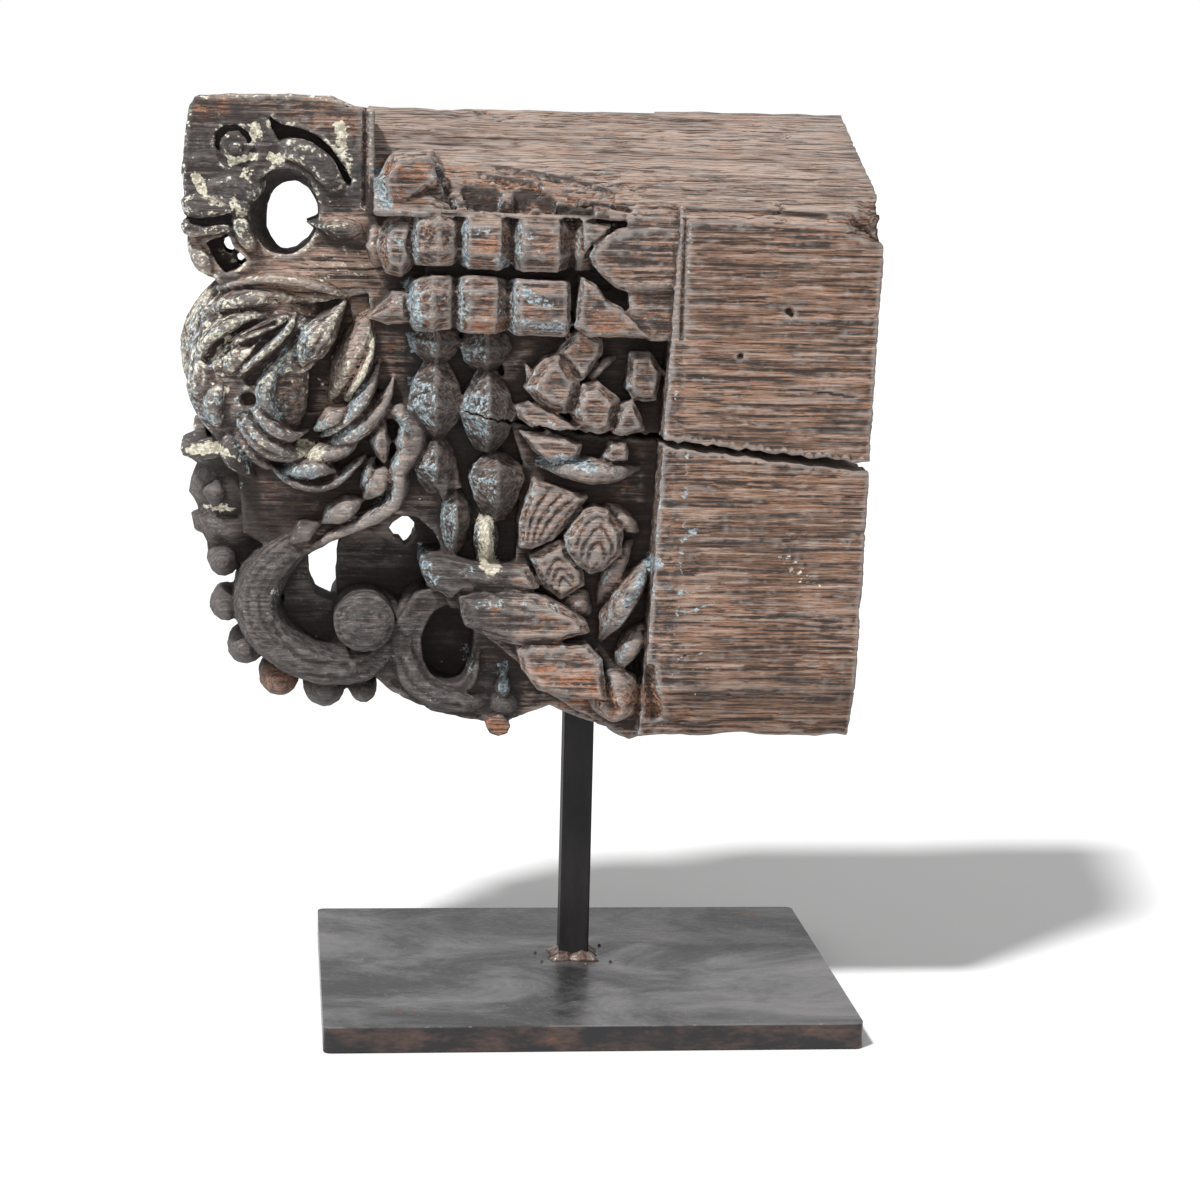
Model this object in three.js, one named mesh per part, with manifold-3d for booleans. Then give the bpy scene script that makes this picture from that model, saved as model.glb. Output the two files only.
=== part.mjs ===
// A carved peacock corbel on a display stand. The corbel is the end of one teak bracket: a plain squared
// tail that was built into a wall, rows and strands of faceted beads, a drop of buds and leaves, and a
// peacock over a beaded scroll at the nose, carved on both cheeks. It stands on a square steel post that is
// welded to a flat steel plate. Millimetres, +Z up, the carved front cheek faces -Y.

import * as THREE from 'three';
import { mergeVertices } from 'three/addons/utils/BufferGeometryUtils.js';
import Module from 'manifold-3d';

const wasm = await Module();
wasm.setup();

// Stand
const PLATE_WIDTH = 206;
const PLATE_DEPTH = 170;
const PLATE_THICKNESS = 10;
const PLATE_CORNER = 3;
const POST_SIDE = 12;
const POST_EDGE = 1;
const POST_SHOWN = 97;
const POST_SETBACK = 11;
const WELD_REACH = 8;
const WELD_RISE = 7;
const SOCKET_DEPTH = 58;
const CLEARANCE = 0.3;

// Corbel, from nose to tail, underside to top and cheek to cheek
const CORBEL_LENGTH = 268;
const CORBEL_HEIGHT = 246;
const CORBEL_THICKNESS = 110;
const TAIL_LENGTH = 77;
const TAIL_END_LEAN = 0.026;
const ARRIS_LEAN = 0.048;
const TOP_FALL = 38;
const UNDERSIDE_BEVEL = 10;
const BEVEL_HEIGHT = 20;
const TOP_BEVEL = 4;
const BEADED_SKIRT = 1;
const CRACK_GAPE = 4.6;
const CRACK_DEPTH = 66;
const HEAD_THICKNESS = 54;
const BEADED_THICKNESS = 104;
const STEPS_THICKNESS = 68;
const CORE_THICKNESS = 46;
const SCROLL_THICKNESS = 70;
const SMALL_SCROLL_THICKNESS = 64;
const WEB_THICKNESS = 12;

// The carving is drawn at the corbel's real size, from the post's axis and the underside, and keeps its
// proportions when the corbel is made longer, taller or thicker.
const DRAWN_LENGTH = 268;
const DRAWN_HEIGHT = 246;
const DRAWN_THICKNESS = 110;
const DRAWN_NOSE = 160;
const DRAWN_UNDERSIDE = 4.5;
const ALONG = CORBEL_LENGTH / DRAWN_LENGTH;
const UP = CORBEL_HEIGHT / DRAWN_HEIGHT;
const DEEP = CORBEL_THICKNESS / DRAWN_THICKNESS;
const HALF = CORBEL_THICKNESS / 2;
const TAIL_END = CORBEL_LENGTH - DRAWN_NOSE * ALONG;
const ARRIS = TAIL_END - TAIL_LENGTH;
const ROOT = 4;
const PLAINER_BACK = 0.7;
const FRONT = -1;
const BACK = 1;
const CHEEKS = [FRONT, BACK];

// Frames for extrusions: a cheek outline is pushed through the thickness, a cross section along the length
const THROUGH = new THREE.Matrix4().makeBasis(
  new THREE.Vector3(1, 0, 0), new THREE.Vector3(0, 0, 1), new THREE.Vector3(0, -1, 0));
const LENGTHWISE = new THREE.Matrix4().makeBasis(
  new THREE.Vector3(0, 1, 0), new THREE.Vector3(0, 0, 1), new THREE.Vector3(1, 0, 0));

// Solids

function signedVolume(positions, triangles) {
  const [a, b, c] = [new THREE.Vector3(), new THREE.Vector3(), new THREE.Vector3()];
  let volume = 0;
  for (let i = 0; i < triangles.length; i += 3) {
    a.fromArray(positions, 3 * triangles[i]);
    b.fromArray(positions, 3 * triangles[i + 1]);
    c.fromArray(positions, 3 * triangles[i + 2]);
    volume += a.dot(b.cross(c)) / 6;
  }
  return volume;
}

function toSolid(geometry) {
  const bare = geometry.clone();
  bare.deleteAttribute('normal');
  bare.deleteAttribute('uv');
  const merged = mergeVertices(bare, 1e-4);
  const positions = merged.attributes.position.array;
  const triangles = [];
  for (let i = 0; i < merged.index.count; i += 3) {
    const corner = [0, 1, 2].map((k) => merged.index.getX(i + k));
    if (new Set(corner).size === 3) triangles.push(...corner);
  }
  if (signedVolume(positions, triangles) < 0) triangles.reverse();
  return new wasm.Manifold(new wasm.Mesh({
    numProp: 3,
    vertProperties: new Float32Array(positions),
    triVerts: new Uint32Array(triangles),
  }));
}

function toGeometry(solid) {
  const mesh = solid.getMesh();
  const geometry = new THREE.BufferGeometry();
  geometry.setAttribute('position', new THREE.BufferAttribute(mesh.vertProperties, 3));
  geometry.setIndex(new THREE.BufferAttribute(mesh.triVerts, 1));
  return geometry;
}

const joined = (solids) => solids.reduce((sum, solid) => sum.add(solid));
const carvedFrom = (wood, cuts) => cuts.reduce((left, cut) => left.subtract(cut), wood);

function shapeOf(points) {
  return new THREE.Shape(points.map(([x, y]) => new THREE.Vector2(x, y)));
}

// A cheek outline between two depths, front first
function slab(points, near, far, holes = []) {
  const shape = shapeOf(points.map(([x, z]) => [x * ALONG, z * UP]));
  holes.forEach(({ x, z, across, tall }) => {
    const hole = new THREE.Path();
    hole.absellipse(x * ALONG, z * UP, across * ALONG, tall * UP, 0, 2 * Math.PI);
    shape.holes.push(hole);
  });
  const span = { depth: far - near, bevelEnabled: false, curveSegments: 7 };
  const geometry = new THREE.ExtrudeGeometry(shape, span);
  geometry.applyMatrix4(THROUGH);
  geometry.translate(0, far, 0);
  return toSolid(geometry);
}

// A cross section from one end to the other along the corbel, whose ends lean from the upright
function beam(section, [start, startLean], [end, endLean]) {
  const geometry = new THREE.ExtrudeGeometry(shapeOf(section), { depth: end - start, bevelEnabled: false });
  geometry.applyMatrix4(LENGTHWISE);
  geometry.translate(start, 0, 0);
  const position = geometry.attributes.position;
  for (let i = 0; i < position.count; i += 1) {
    const share = (position.getX(i) - start) / (end - start);
    const lean = startLean + share * (endLean - startLean);
    position.setX(i, position.getX(i) + (position.getZ(i) - CORBEL_HEIGHT) * lean);
  }
  return toSolid(geometry);
}

const between = (values, t) => {
  if (!Array.isArray(values)) return values;
  const place = t * (values.length - 1);
  const before = Math.min(Math.floor(place), values.length - 2);
  return values[before] + (values[before + 1] - values[before]) * (place - before);
};

// A leaf, feather, band or bud: the rings of a ball set along a curve drawn on the cheek, from its root in
// the core out to its face. Ends are rounder where blunt is small, and square fills out its section.
function leaf(spine, form) {
  const { width, face, cheek = FRONT, root = ROOT, sides = 6, rings = 5, blunt = 0.55, square = 0.65 } = form;
  const detail = cheek === FRONT ? rings : Math.ceil(PLAINER_BACK * rings);
  const curve = new THREE.CatmullRomCurve3(
    spine.map(([x, z]) => new THREE.Vector3(x * ALONG, 0, z * UP)), false, 'centripetal');
  const geometry = new THREE.SphereGeometry(1, sides, detail, Math.PI / 2);
  const position = geometry.attributes.position;
  const fill = (value) => Math.sign(value) * Math.abs(value) ** square;
  for (let i = 0; i < position.count; i += 1) {
    const t = Math.acos(THREE.MathUtils.clamp(position.getY(i), -1, 1)) / Math.PI;
    const radius = Math.hypot(position.getX(i), position.getZ(i));
    const swell = radius < 1e-6 ? 0 : radius ** blunt;
    const tangent = curve.getTangent(t);
    const place = curve.getPoint(t);
    const front = between(face, t);
    const across = fill(position.getX(i) / (radius || 1)) * swell * between(width, t) * ALONG;
    const out = fill(position.getZ(i) / (radius || 1)) * swell * (front - root) / 2;
    position.setXYZ(i, place.x - tangent.z * across, cheek * ((front + root) / 2 + out) * DEEP,
      place.z + tangent.x * across);
  }
  return toSolid(geometry);
}

// A bead or a string of them turned about a line, from pairs of place along it and radius, and drawn out
// from the core to its face
function turned(profile, { x = 0, z = 0, face, cheek, root = ROOT, hangs = false, sides = 6 }) {
  const widest = Math.max(...profile.map(([, radius]) => radius));
  const points = profile.map(([along, radius]) => new THREE.Vector2(radius, along));
  const geometry = new THREE.LatheGeometry(points, sides, hangs ? 0 : Math.PI / sides);
  if (hangs) geometry.rotateX(Math.PI / 2);
  else geometry.rotateZ(-Math.PI / 2);
  geometry.scale(ALONG, DEEP * (face - root) / 2 / widest, UP);
  geometry.translate(x * ALONG, cheek * DEEP * (face + root) / 2, z * UP);
  return toSolid(geometry);
}

// A ball drawn out across the thickness, the same on both sides of the middle
function ball([x, z], [across, tall], face, sides = 8, rings = 6) {
  const geometry = new THREE.SphereGeometry(1, sides, rings);
  geometry.rotateX(Math.PI / 2);
  geometry.scale(across * ALONG, face * DEEP, tall * UP);
  geometry.translate(x * ALONG, 0, z * UP);
  return toSolid(geometry);
}

function onBothCheeks(forms, make) {
  return CHEEKS.flatMap((cheek) => forms
    .filter(({ frontOnly }) => cheek === FRONT || !frontOnly)
    .map((form) => make(form, cheek)));
}

// Block: the squared tail, its weathered head over the beads, and the core behind the carving

// Cross sections from one cheek to the other under the sloping, weathered top
const top = (y) => CORBEL_HEIGHT - TOP_FALL * (HALF - y) / CORBEL_THICKNESS;

function section(foot, face) {
  return [
    ...foot, [face, top(face) - TOP_BEVEL], [face - TOP_BEVEL, top(face)], [-face + TOP_BEVEL, top(-face)],
    [-face, top(-face) - TOP_BEVEL],
  ];
}

function tailSection() {
  const low = DRAWN_UNDERSIDE * UP;
  const flat = HALF - UNDERSIDE_BEVEL;
  const foot = [[-HALF, low + BEVEL_HEIGHT], [-flat, low], [flat, low], [HALF, low + BEVEL_HEIGHT]];
  return section(foot, HALF);
}

function beadedSection() {
  const face = BEADED_THICKNESS / 2;
  const low = top(-face) - TOP_BEVEL - BEADED_SKIRT;
  return section([[-face, low], [face, low]], face);
}

const CORE_OUTLINE = [
  [-88, 224], [-88, 182], [-84, 140], [-74, 118], [-78, 95], [-96, 84], [-98, 62], [-97, 44], [-90, 30],
  [-76, 18], [-60, 10], [-34, 5], [-14, 13], [0, 6], [17, 1], [36, 4], [36, 224],
];
const STEPS_OUTLINE = [
  [-60, 66], [-52, 48], [-41, 42], [-28, 32], [-17, 20], [1, 9], [17, 1], [34, 4], [34, 66], [18, 64], [2, 58],
  [-30, 60],
];
const BLOCK_NOSE = -86;

// Two rows of square-cut beads with sharp notches, ending in a plain billet against the tail

const ROWS = [
  { z: 198, half: 12, face: 52, notches: [-84, -70, -53.5, -31.5, -9, 10] },
  { z: 171, half: 12, face: 53, notches: [-84, -72, -53.5, -33, -10, 12] },
];
const CORNER_BEADS = [
  { x: -77, z: 217, size: [9, 12], face: 48 },
  { x: -90, z: 195, size: [8, 13], face: 45 },
  { x: -91, z: 169, size: [7, 9], face: 43 },
];

const NOTCH_SHARE = 0.3;
const NOTCH_NECK = 0.66;
const LAST_NOTCH_RUN = 6;

function beadRow({ z, half, face, notches }, cheek) {
  const neck = NOTCH_NECK * half;
  const profile = [[notches[0], 0], [notches[0], neck]];
  notches.slice(1).forEach((notch, i) => {
    const slope = NOTCH_SHARE * (notch - notches[i]);
    profile.push([notches[i] + slope, half], [notch - slope, half], [notch, neck]);
  });
  const billet = ARRIS / ALONG;
  profile.push([notches.at(-1) + LAST_NOTCH_RUN, half], [billet, half], [billet, 0]);
  return turned(profile, { z, face, cheek, sides: cheek === FRONT ? 8 : 6 });
}

// Two hanging strands, each bead by its line, its top, belly and foot, its radius and how far it stands out

const STRANDS = [
  { x: -61.5, heights: [164, 156, 147], radius: 9.5, face: 46 },
  { x: -61.5, heights: [149, 131, 119], radius: 10.5, face: 48 },
  { x: -61, heights: [120, 108, 97], radius: 8.5, face: 46 },
  { x: -53, heights: [99, 88, 72], radius: 6, face: 44 },
  { x: -42.5, heights: [164, 156, 143], radius: 10, face: 48 },
  { x: -42, heights: [146, 130, 115], radius: 10.5, face: 51 },
  { x: -38.5, heights: [116, 105, 88], radius: 11, face: 50 },
  { x: -42.5, heights: [91, 80, 68], radius: 6.5, face: 46 },
];

const BEAD_NECK = 0.4;

function bead({ x, heights: [top, belly, foot], radius, face }, cheek) {
  const neck = BEAD_NECK * radius;
  const profile = [[top, 0], [top, neck], [belly, radius], [foot, neck], [foot, 0]];
  return turned(profile, { x, face, cheek, hangs: true });
}

// The drop: buds and leaves over a split collar, folded leaves under it, and stepped leaves at the foot

const DROP = [
  { spine: [[2, 165], [-13, 148]], width: 7.5, face: 46 },
  { spine: [[-8, 157], [-22, 129]], width: 11, face: 50 },
  { spine: [[4, 148], [-3, 124.5]], width: 9.5, face: 50 },
  { spine: [[13, 140], [11.5, 123.5]], width: 7, face: 47 },
  { spine: [[17, 161], [16, 134]], width: 6.5, face: 47 },
  { spine: [[-33, 134], [-20, 130.5], [-6, 125]], width: 4, face: 49, frontOnly: true },
  { spine: [[-32, 120], [-14, 114.5], [6, 112]], width: 6, face: 46 },
  { spine: [[2, 113.5], [26, 110]], width: 4, face: 44, frontOnly: true },
  { spine: [[-26, 108.5], [0, 108.5], [23, 108]], width: 5.5, face: 54, sides: 4, rings: 6 },
  { spine: [[-30, 78], [-20, 92], [2, 101]], width: 11.5, face: 47 },
  { spine: [[0, 97], [0, 68]], width: 12.5, face: 50 },
  { spine: [[-23, 76], [-5, 56]], width: 11, face: 46 },
  { spine: [[0, 101], [25, 84]], width: 6, face: 44, frontOnly: true },
  { spine: [[-8, 68], [18, 42]], width: 12, face: 42 },
  { spine: [[26, 84], [19, 63], [11, 49], [2, 40]], width: 5.5, face: 54, sides: 4, rings: 6 },
  { spine: [[27, 56], [19, 44], [10, 22]], width: 6.5, face: 50, sides: 4 },
  { spine: [[-69, 69], [-52, 68], [-36, 65], [-14, 60]], width: [6, 8, 9, 7], face: 52, blunt: 0.4 },
  { spine: [[-51, 48], [-36, 52], [-17, 51], [8, 41]], width: [8, 10, 11, 7], face: 54, blunt: 0.4 },
  { spine: [[-29, 31], [-15, 31], [0, 29], [12, 22]], width: [10, 12, 13, 11], face: 54, blunt: 0.4 },
];

// Peacock: a flat head pierced by the bend of its neck, an egg of a body, and a wing of long feathers

const HEAD_OUTLINE = [
  [-157, 240], [-152, 246], [-104, 246], [-90, 243], [-86, 240], [-84, 182], [-116, 172], [-143, 170],
  [-152, 187], [-159, 197], [-158, 210], [-159, 222],
];
const HEAD_HOLES = [
  { x: -116.2, z: 200.5, across: 11.5, tall: 15 },
  { x: -140.5, z: 191, across: 2.4, tall: 3.2 },
  { x: -135.2, z: 185, across: 2.6, tall: 2.6 },
];
const EYE = { x: -138, z: 227.7, radius: 5.5, proud: 3 };
const HEAD_RELIEF = [
  { spine: [[-130, 221], [-119.6, 227], [-108.5, 223], [-101.5, 214], [-99.5, 203], [-101, 186]], width: 5.5,
    face: 31, rings: 8 },
  { spine: [[-128, 243], [-117, 240], [-104, 232], [-96, 220], [-93, 205]], width: 4, face: 30, rings: 7 },
  { spine: [[-151, 238], [-154, 222], [-147, 210], [-136, 206], [-126, 211], [-124, 223], [-131, 235]],
    width: 5, face: 31, rings: 9 },
  { spine: [[-137, 211], [-134, 198], [-130.5, 189], [-124, 178]], width: 4, face: 33 },
  { spine: [[-157.5, 209], [-155.5, 197], [-149.5, 186], [-140, 173]], width: 3.5, face: 30 },
  { spine: [[-159.5, 205], [-137, 205]], width: 4, face: 33 },
  { spine: [[-159.5, 197], [-140, 197]], width: 3, face: 32, frontOnly: true },
];
const SPIKE = [[-109, 200.7], [-86, 208], [-86, 189]];
const BODY = { place: [-124.5, 149], radii: [35, 34], face: 38 };
const GROUND_OUTLINE = [
  [-84, 202], [-112, 187], [-135, 182], [-150, 166], [-154, 148], [-150, 128], [-140, 117], [-136, 100],
  [-134, 80], [-122, 72], [-104, 78], [-84, 92], [-70, 97], [-64, 120], [-70, 150],
];
const HOLLOW = { spine: [[-95, 172], [-103, 152], [-114, 130]], width: 7, face: 44, root: 22 };
const WING = [
  { spine: [[-149, 157], [-143, 169], [-132, 175], [-117, 176], [-96, 171]], width: 4, face: 37 },
  { spine: [[-153, 143], [-147, 160], [-136, 166], [-119, 167]], width: 4, face: 40 },
  { spine: [[-143, 141], [-137, 153], [-128, 159], [-114, 164]], width: 4.5, face: 43 },
  { spine: [[-146, 128], [-138, 140], [-128, 151], [-109, 165]], width: 4, face: 43 },
  { spine: [[-115, 141], [-112, 154], [-105, 164], [-96, 170]], width: 5, face: 43 },
  { spine: [[-89, 166], [-86.5, 155], [-90.5, 143], [-98, 132.5], [-108.5, 124.5], [-119, 126], [-126, 134],
    [-125.5, 144], [-118, 152]], width: 4, face: 41, rings: 11 },
  { spine: [[-138, 133], [-132, 119.6], [-122.5, 113], [-112, 111], [-100, 116], [-91, 126.6], [-85, 146]],
    width: 5, face: 40, rings: 8 },
  { spine: [[-140, 124], [-137.5, 111.6], [-129, 101]], width: 4.5, face: 36 },
  { spine: [[-124, 109], [-111, 104], [-98, 105.5], [-84, 114]], width: 5.5, face: 38 },
  { spine: [[-80, 150], [-83, 136], [-90, 125], [-100, 115]], width: 4.5, face: 38, frontOnly: true },
  { spine: [[-80, 126], [-82, 114], [-78, 105]], width: 4, face: 38, frontOnly: true },
];

// Scrolls: a beaded C under the bird with a disc in its eye, fed by two ribs, and a small one beside it

const RIBS = [
  { spine: [[-79, 132], [-73.5, 119], [-71.5, 107], [-74, 96], [-81, 88.5], [-92, 81], [-104, 74.5],
    [-118, 68]], width: [6, 6.5, 6, 5, 3.5, 3, 3, 3], face: 40, root: 0, rings: 9 },
  { spine: [[-82, 109], [-91, 95], [-103, 85], [-115, 77], [-127, 70]],
    width: 4.5, face: 37, root: 0, rings: 6 },
];
const GREAT_SCROLL = [
  [-84, 98], [-92, 89], [-104, 81], [-116, 74], [-126, 63], [-129, 50], [-121, 37], [-105, 28], [-88, 28],
  [-76, 38], [-76, 50], [-84, 57],
];
const GREAT_WIDTH = [4, 5, 6, 8, 9.5, 9.5, 9, 8.5, 8, 6, 5, 4];
const VOLUTE = { x: -88, z: 47, radius: 11.3 };
const SMALL_SCROLL = [
  [-62, 60], [-70, 52], [-73, 38], [-68, 23], [-56, 15], [-42, 15], [-36, 28], [-38, 44],
];
const SMALL_WIDTH = [4, 5, 6, 6.5, 6.5, 6, 5, 4];
const KNOB = { x: -32, z: 14, radius: 10, face: 33 };
const STUB = { x: -35, z: 4.5, radius: 5, thickness: 56 };
const NOSE_BEADS = [
  [-143.5, 67, 6.2], [-141, 50, 6.6], [-133.5, 33, 7], [-121, 20.5, 8], [-104.5, 15, 8.2], [-89, 17, 6.4],
];
const NOSE_BEAD_FACE = 25;
const STEM_FACE = 21;
const STEM_LINE = -137;
const STEM = [
  [120, 0], [120, 15], [114, 22], [108, 21], [104, 17], [96, 19.5], [88, 16], [84, 17], [78, 16.5], [73, 12],
  [64, 10], [64, 0],
];

// Hollows: the pocket in the great scroll and the eye of the small one stop at a web, the gap goes through
const POCKET = [
  [-107, 74], [-98, 78], [-88, 84], [-78, 88], [-66, 86], [-58, 76], [-60, 60], [-68, 56], [-76, 44],
  [-92, 36], [-108, 40], [-117, 48], [-117, 62],
];
const SCROLL_EYE = [[-61, 36.5], [-57, 26], [-50, 24], [-45.5, 36.5], [-48, 49], [-57, 49]];
const GAP = [[-77.7, 79.3], [-72.5, 73.8], [-67.3, 79.3], [-72.5, 84.8]];

function disc({ x, z, radius }, thickness, sides = 14) {
  const geometry = new THREE.CylinderGeometry(radius, radius, thickness, sides);
  geometry.scale(ALONG, 1, UP);
  geometry.translate(x * ALONG, 0, z * UP);
  return toSolid(geometry);
}

function ground() {
  const depth = STEPS_THICKNESS / 2;
  const solid = joined([
    beam(tailSection(), [ARRIS, ARRIS_LEAN], [TAIL_END, TAIL_END_LEAN]),
    beam(beadedSection(), [BLOCK_NOSE * ALONG, 0], [ARRIS + TOP_BEVEL, 0]),
    slab(CORE_OUTLINE, -CORE_THICKNESS / 2, CORE_THICKNESS / 2),
    slab(STEPS_OUTLINE, -depth, depth),
    slab(GROUND_OUTLINE, -CORE_THICKNESS / 2, CORE_THICKNESS / 2),
    slab(HEAD_OUTLINE, -HEAD_THICKNESS / 2, HEAD_THICKNESS / 2, HEAD_HOLES),
    ball(BODY.place, BODY.radii, BODY.face, 12, 8),
  ]);
  const cheekSpans = [[-depth, -WEB_THICKNESS / 2], [WEB_THICKNESS / 2, depth]];
  return carvedFrom(solid, [
    ...cheekSpans.map(([near, far]) => slab(POCKET, near, far)),
    ...cheekSpans.map(([near, far]) => slab(SCROLL_EYE, near, far)),
    ...CHEEKS.map((cheek) => leaf(HOLLOW.spine, { ...HOLLOW, cheek })),
  ]);
}

function carving() {
  const leaves = [...DROP, ...HEAD_RELIEF, ...WING, ...RIBS];
  return [
    ...onBothCheeks(ROWS, beadRow),
    ...onBothCheeks(STRANDS, bead),
    ...onBothCheeks(leaves, (form, cheek) => leaf(form.spine, { ...form, cheek })),
    ...CORNER_BEADS.map(({ x, z, size, face }) => ball([x, z], size, face, 6, 6)),
    slab(SPIKE, -HEAD_THICKNESS / 2, HEAD_THICKNESS / 2),
    disc(EYE, HEAD_THICKNESS + 2 * EYE.proud, 10),
  ];
}

function scrolls() {
  const band = (outline, width, thickness, rings) => leaf(outline, {
    width, rings, face: thickness / 2 / DEEP, root: -thickness / 2 / DEEP, sides: 8, blunt: 0.4, square: 0.6,
  });
  return [
    band(GREAT_SCROLL, GREAT_WIDTH, SCROLL_THICKNESS, 15),
    band(SMALL_SCROLL, SMALL_WIDTH, SMALL_SCROLL_THICKNESS, 10),
    disc(VOLUTE, SCROLL_THICKNESS),
    disc(STUB, STUB.thickness, 8),
    ball([KNOB.x, KNOB.z], [KNOB.radius, KNOB.radius], KNOB.face),
    ...NOSE_BEADS.map(([x, z, radius]) => ball([x, z], [radius, radius], NOSE_BEAD_FACE, 7, 5)),
    turned(STEM, { x: STEM_LINE, face: STEM_FACE, root: -STEM_FACE, cheek: BACK, hangs: true, sides: 10 }),
  ];
}

// The shrinkage crack opens from a hair in the beads to its full gape at the sawn end
const CRACK_LINE = [[-46, 129], [-30, 125.5], [0, 121.5], [26, 120], [62, 116], [112, 111]];
const CRACK_HAIR = 0.15;

function crack() {
  const last = CRACK_LINE.length - 1;
  const opening = (i) => CRACK_GAPE / 2 * (CRACK_HAIR + (1 - CRACK_HAIR) * i / last);
  const lip = (side) => CRACK_LINE.map(([x, z], i) => [x, z + side * opening(i)]);
  const clearOfCheek = HALF + TOP_BEVEL;
  return slab([...lip(1), ...lip(-1).reverse()], -clearOfCheek, CRACK_DEPTH - HALF);
}

function socket() {
  const side = POST_SIDE + 2 * CLEARANCE;
  return toSolid(new THREE.BoxGeometry(side, side, 2 * (SOCKET_DEPTH + CLEARANCE)));
}

function corbel() {
  const wood = joined([ground(), ...carving(), ...scrolls()]);
  return carvedFrom(wood, [crack(), slab(GAP, -HALF, HALF), socket()]);
}

// Stand

function roundedOutline(width, depth, radius) {
  const [w, d] = [width / 2, depth / 2];
  const shape = new THREE.Shape();
  shape.moveTo(radius - w, -d);
  shape.absarc(w - radius, radius - d, radius, -Math.PI / 2, 0);
  shape.absarc(w - radius, d - radius, radius, 0, Math.PI / 2);
  shape.absarc(radius - w, d - radius, radius, Math.PI / 2, Math.PI);
  shape.absarc(radius - w, radius - d, radius, Math.PI, 1.5 * Math.PI);
  return shape;
}

function bar(width, depth, radius, length) {
  const outline = roundedOutline(width, depth, radius);
  return new THREE.ExtrudeGeometry(outline, { depth: length, bevelEnabled: false, curveSegments: 3 });
}

// The weld is a hollow-sloped collar of metal that fills the corner between the post and the plate
function weld() {
  const toe = POST_SIDE / 2 + WELD_REACH;
  const shoulder = POST_SIDE / 2 + WELD_REACH / 2;
  const crown = POST_SIDE / Math.SQRT2 + 1;
  const profile = [[0, 0], [toe, 0], [shoulder, WELD_RISE / 3], [crown, WELD_RISE], [0, WELD_RISE]];
  const collar = new THREE.LatheGeometry(profile.map(([r, z]) => new THREE.Vector2(r, z)), 20);
  collar.rotateX(Math.PI / 2);
  const side = POST_SIDE + 2 * CLEARANCE;
  return toGeometry(toSolid(collar).subtract(toSolid(new THREE.BoxGeometry(side, side, 4 * WELD_RISE))));
}

const teak = new THREE.MeshStandardMaterial({ color: 0x6b4a36, roughness: 0.85, metalness: 0 });
const millScale = new THREE.MeshStandardMaterial({ color: 0x3a3838, roughness: 0.5, metalness: 0.8 });
const blackBar = new THREE.MeshStandardMaterial({ color: 0x242222, roughness: 0.55, metalness: 0.8 });
const weldMetal = new THREE.MeshStandardMaterial({ color: 0x6a5a50, roughness: 0.45, metalness: 0.8 });

function placed(name, geometry, material, z) {
  const mesh = new THREE.Mesh(geometry, material);
  mesh.name = name;
  mesh.position.z = z;
  return mesh;
}

const object = new THREE.Group();
object.add(placed('stand_plate', bar(PLATE_WIDTH, PLATE_DEPTH, PLATE_CORNER, PLATE_THICKNESS), millScale, 0));

const upright = new THREE.Group();
const postLength = POST_SHOWN + SOCKET_DEPTH - CLEARANCE;
upright.position.set(0, POST_SETBACK, PLATE_THICKNESS + CLEARANCE);
upright.add(placed('stand_post', bar(POST_SIDE, POST_SIDE, POST_EDGE, postLength), blackBar, 0));
upright.add(placed('weld_bead', weld(), weldMetal, 0));
upright.add(placed('carved_corbel', toGeometry(corbel()), teak, POST_SHOWN - CLEARANCE));
object.add(upright);

export default object;
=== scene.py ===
import math
from itertools import product

import bmesh
import bpy
import numpy as np
from mathutils import Matrix, Vector


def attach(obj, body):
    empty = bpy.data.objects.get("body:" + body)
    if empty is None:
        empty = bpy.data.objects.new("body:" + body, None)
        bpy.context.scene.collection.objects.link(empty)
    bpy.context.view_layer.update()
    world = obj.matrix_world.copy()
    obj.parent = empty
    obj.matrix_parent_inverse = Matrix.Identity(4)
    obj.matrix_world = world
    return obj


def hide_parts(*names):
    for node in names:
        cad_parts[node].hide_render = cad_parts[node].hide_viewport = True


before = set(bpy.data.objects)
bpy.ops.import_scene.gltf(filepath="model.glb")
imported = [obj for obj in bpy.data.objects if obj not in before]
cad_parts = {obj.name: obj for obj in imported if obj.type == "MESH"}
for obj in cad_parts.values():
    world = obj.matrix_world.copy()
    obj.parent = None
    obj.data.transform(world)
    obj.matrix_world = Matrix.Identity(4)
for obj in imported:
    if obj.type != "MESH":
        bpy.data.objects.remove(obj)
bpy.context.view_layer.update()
scene = bpy.context.scene


# Viewpoint
# The corbel is seen a little from above and from the nose side, through a long lens on a tripod, so that the
# cheek is nearly square to the camera and the top of the block shows as a narrow sloping band.

camera_data = bpy.data.cameras.new("camera")
camera_data.lens = 90.69
camera_data.sensor_width = 36.0
camera = bpy.data.objects.new("camera", camera_data)
scene.collection.objects.link(camera)

yaw, pitch, roll = math.radians(6.2), math.radians(9.24), math.radians(1.42)
forward = Vector((math.sin(yaw) * math.cos(pitch), math.cos(yaw) * math.cos(pitch), -math.sin(pitch)))
level_right = Vector((math.cos(yaw), -math.sin(yaw), 0.0))
level_up = level_right.cross(forward)
right = level_right * math.cos(roll) + level_up * math.sin(roll)
up = level_up * math.cos(roll) - level_right * math.sin(roll)
turn = Matrix((right, up, -forward)).transposed().to_4x4()
camera.matrix_world = Matrix.Translation((-0.1218, -1.1819, 0.3526)) @ turn
scene.camera = camera


# Table and light
# A matt white table that fades into a white wall, one large key from the upper left in front, a broad fill from
# the camera's side and a white room around it.

def linked_object(name, mesh):
    thing = bpy.data.objects.new(name, mesh)
    scene.collection.objects.link(thing)
    return thing


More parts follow.
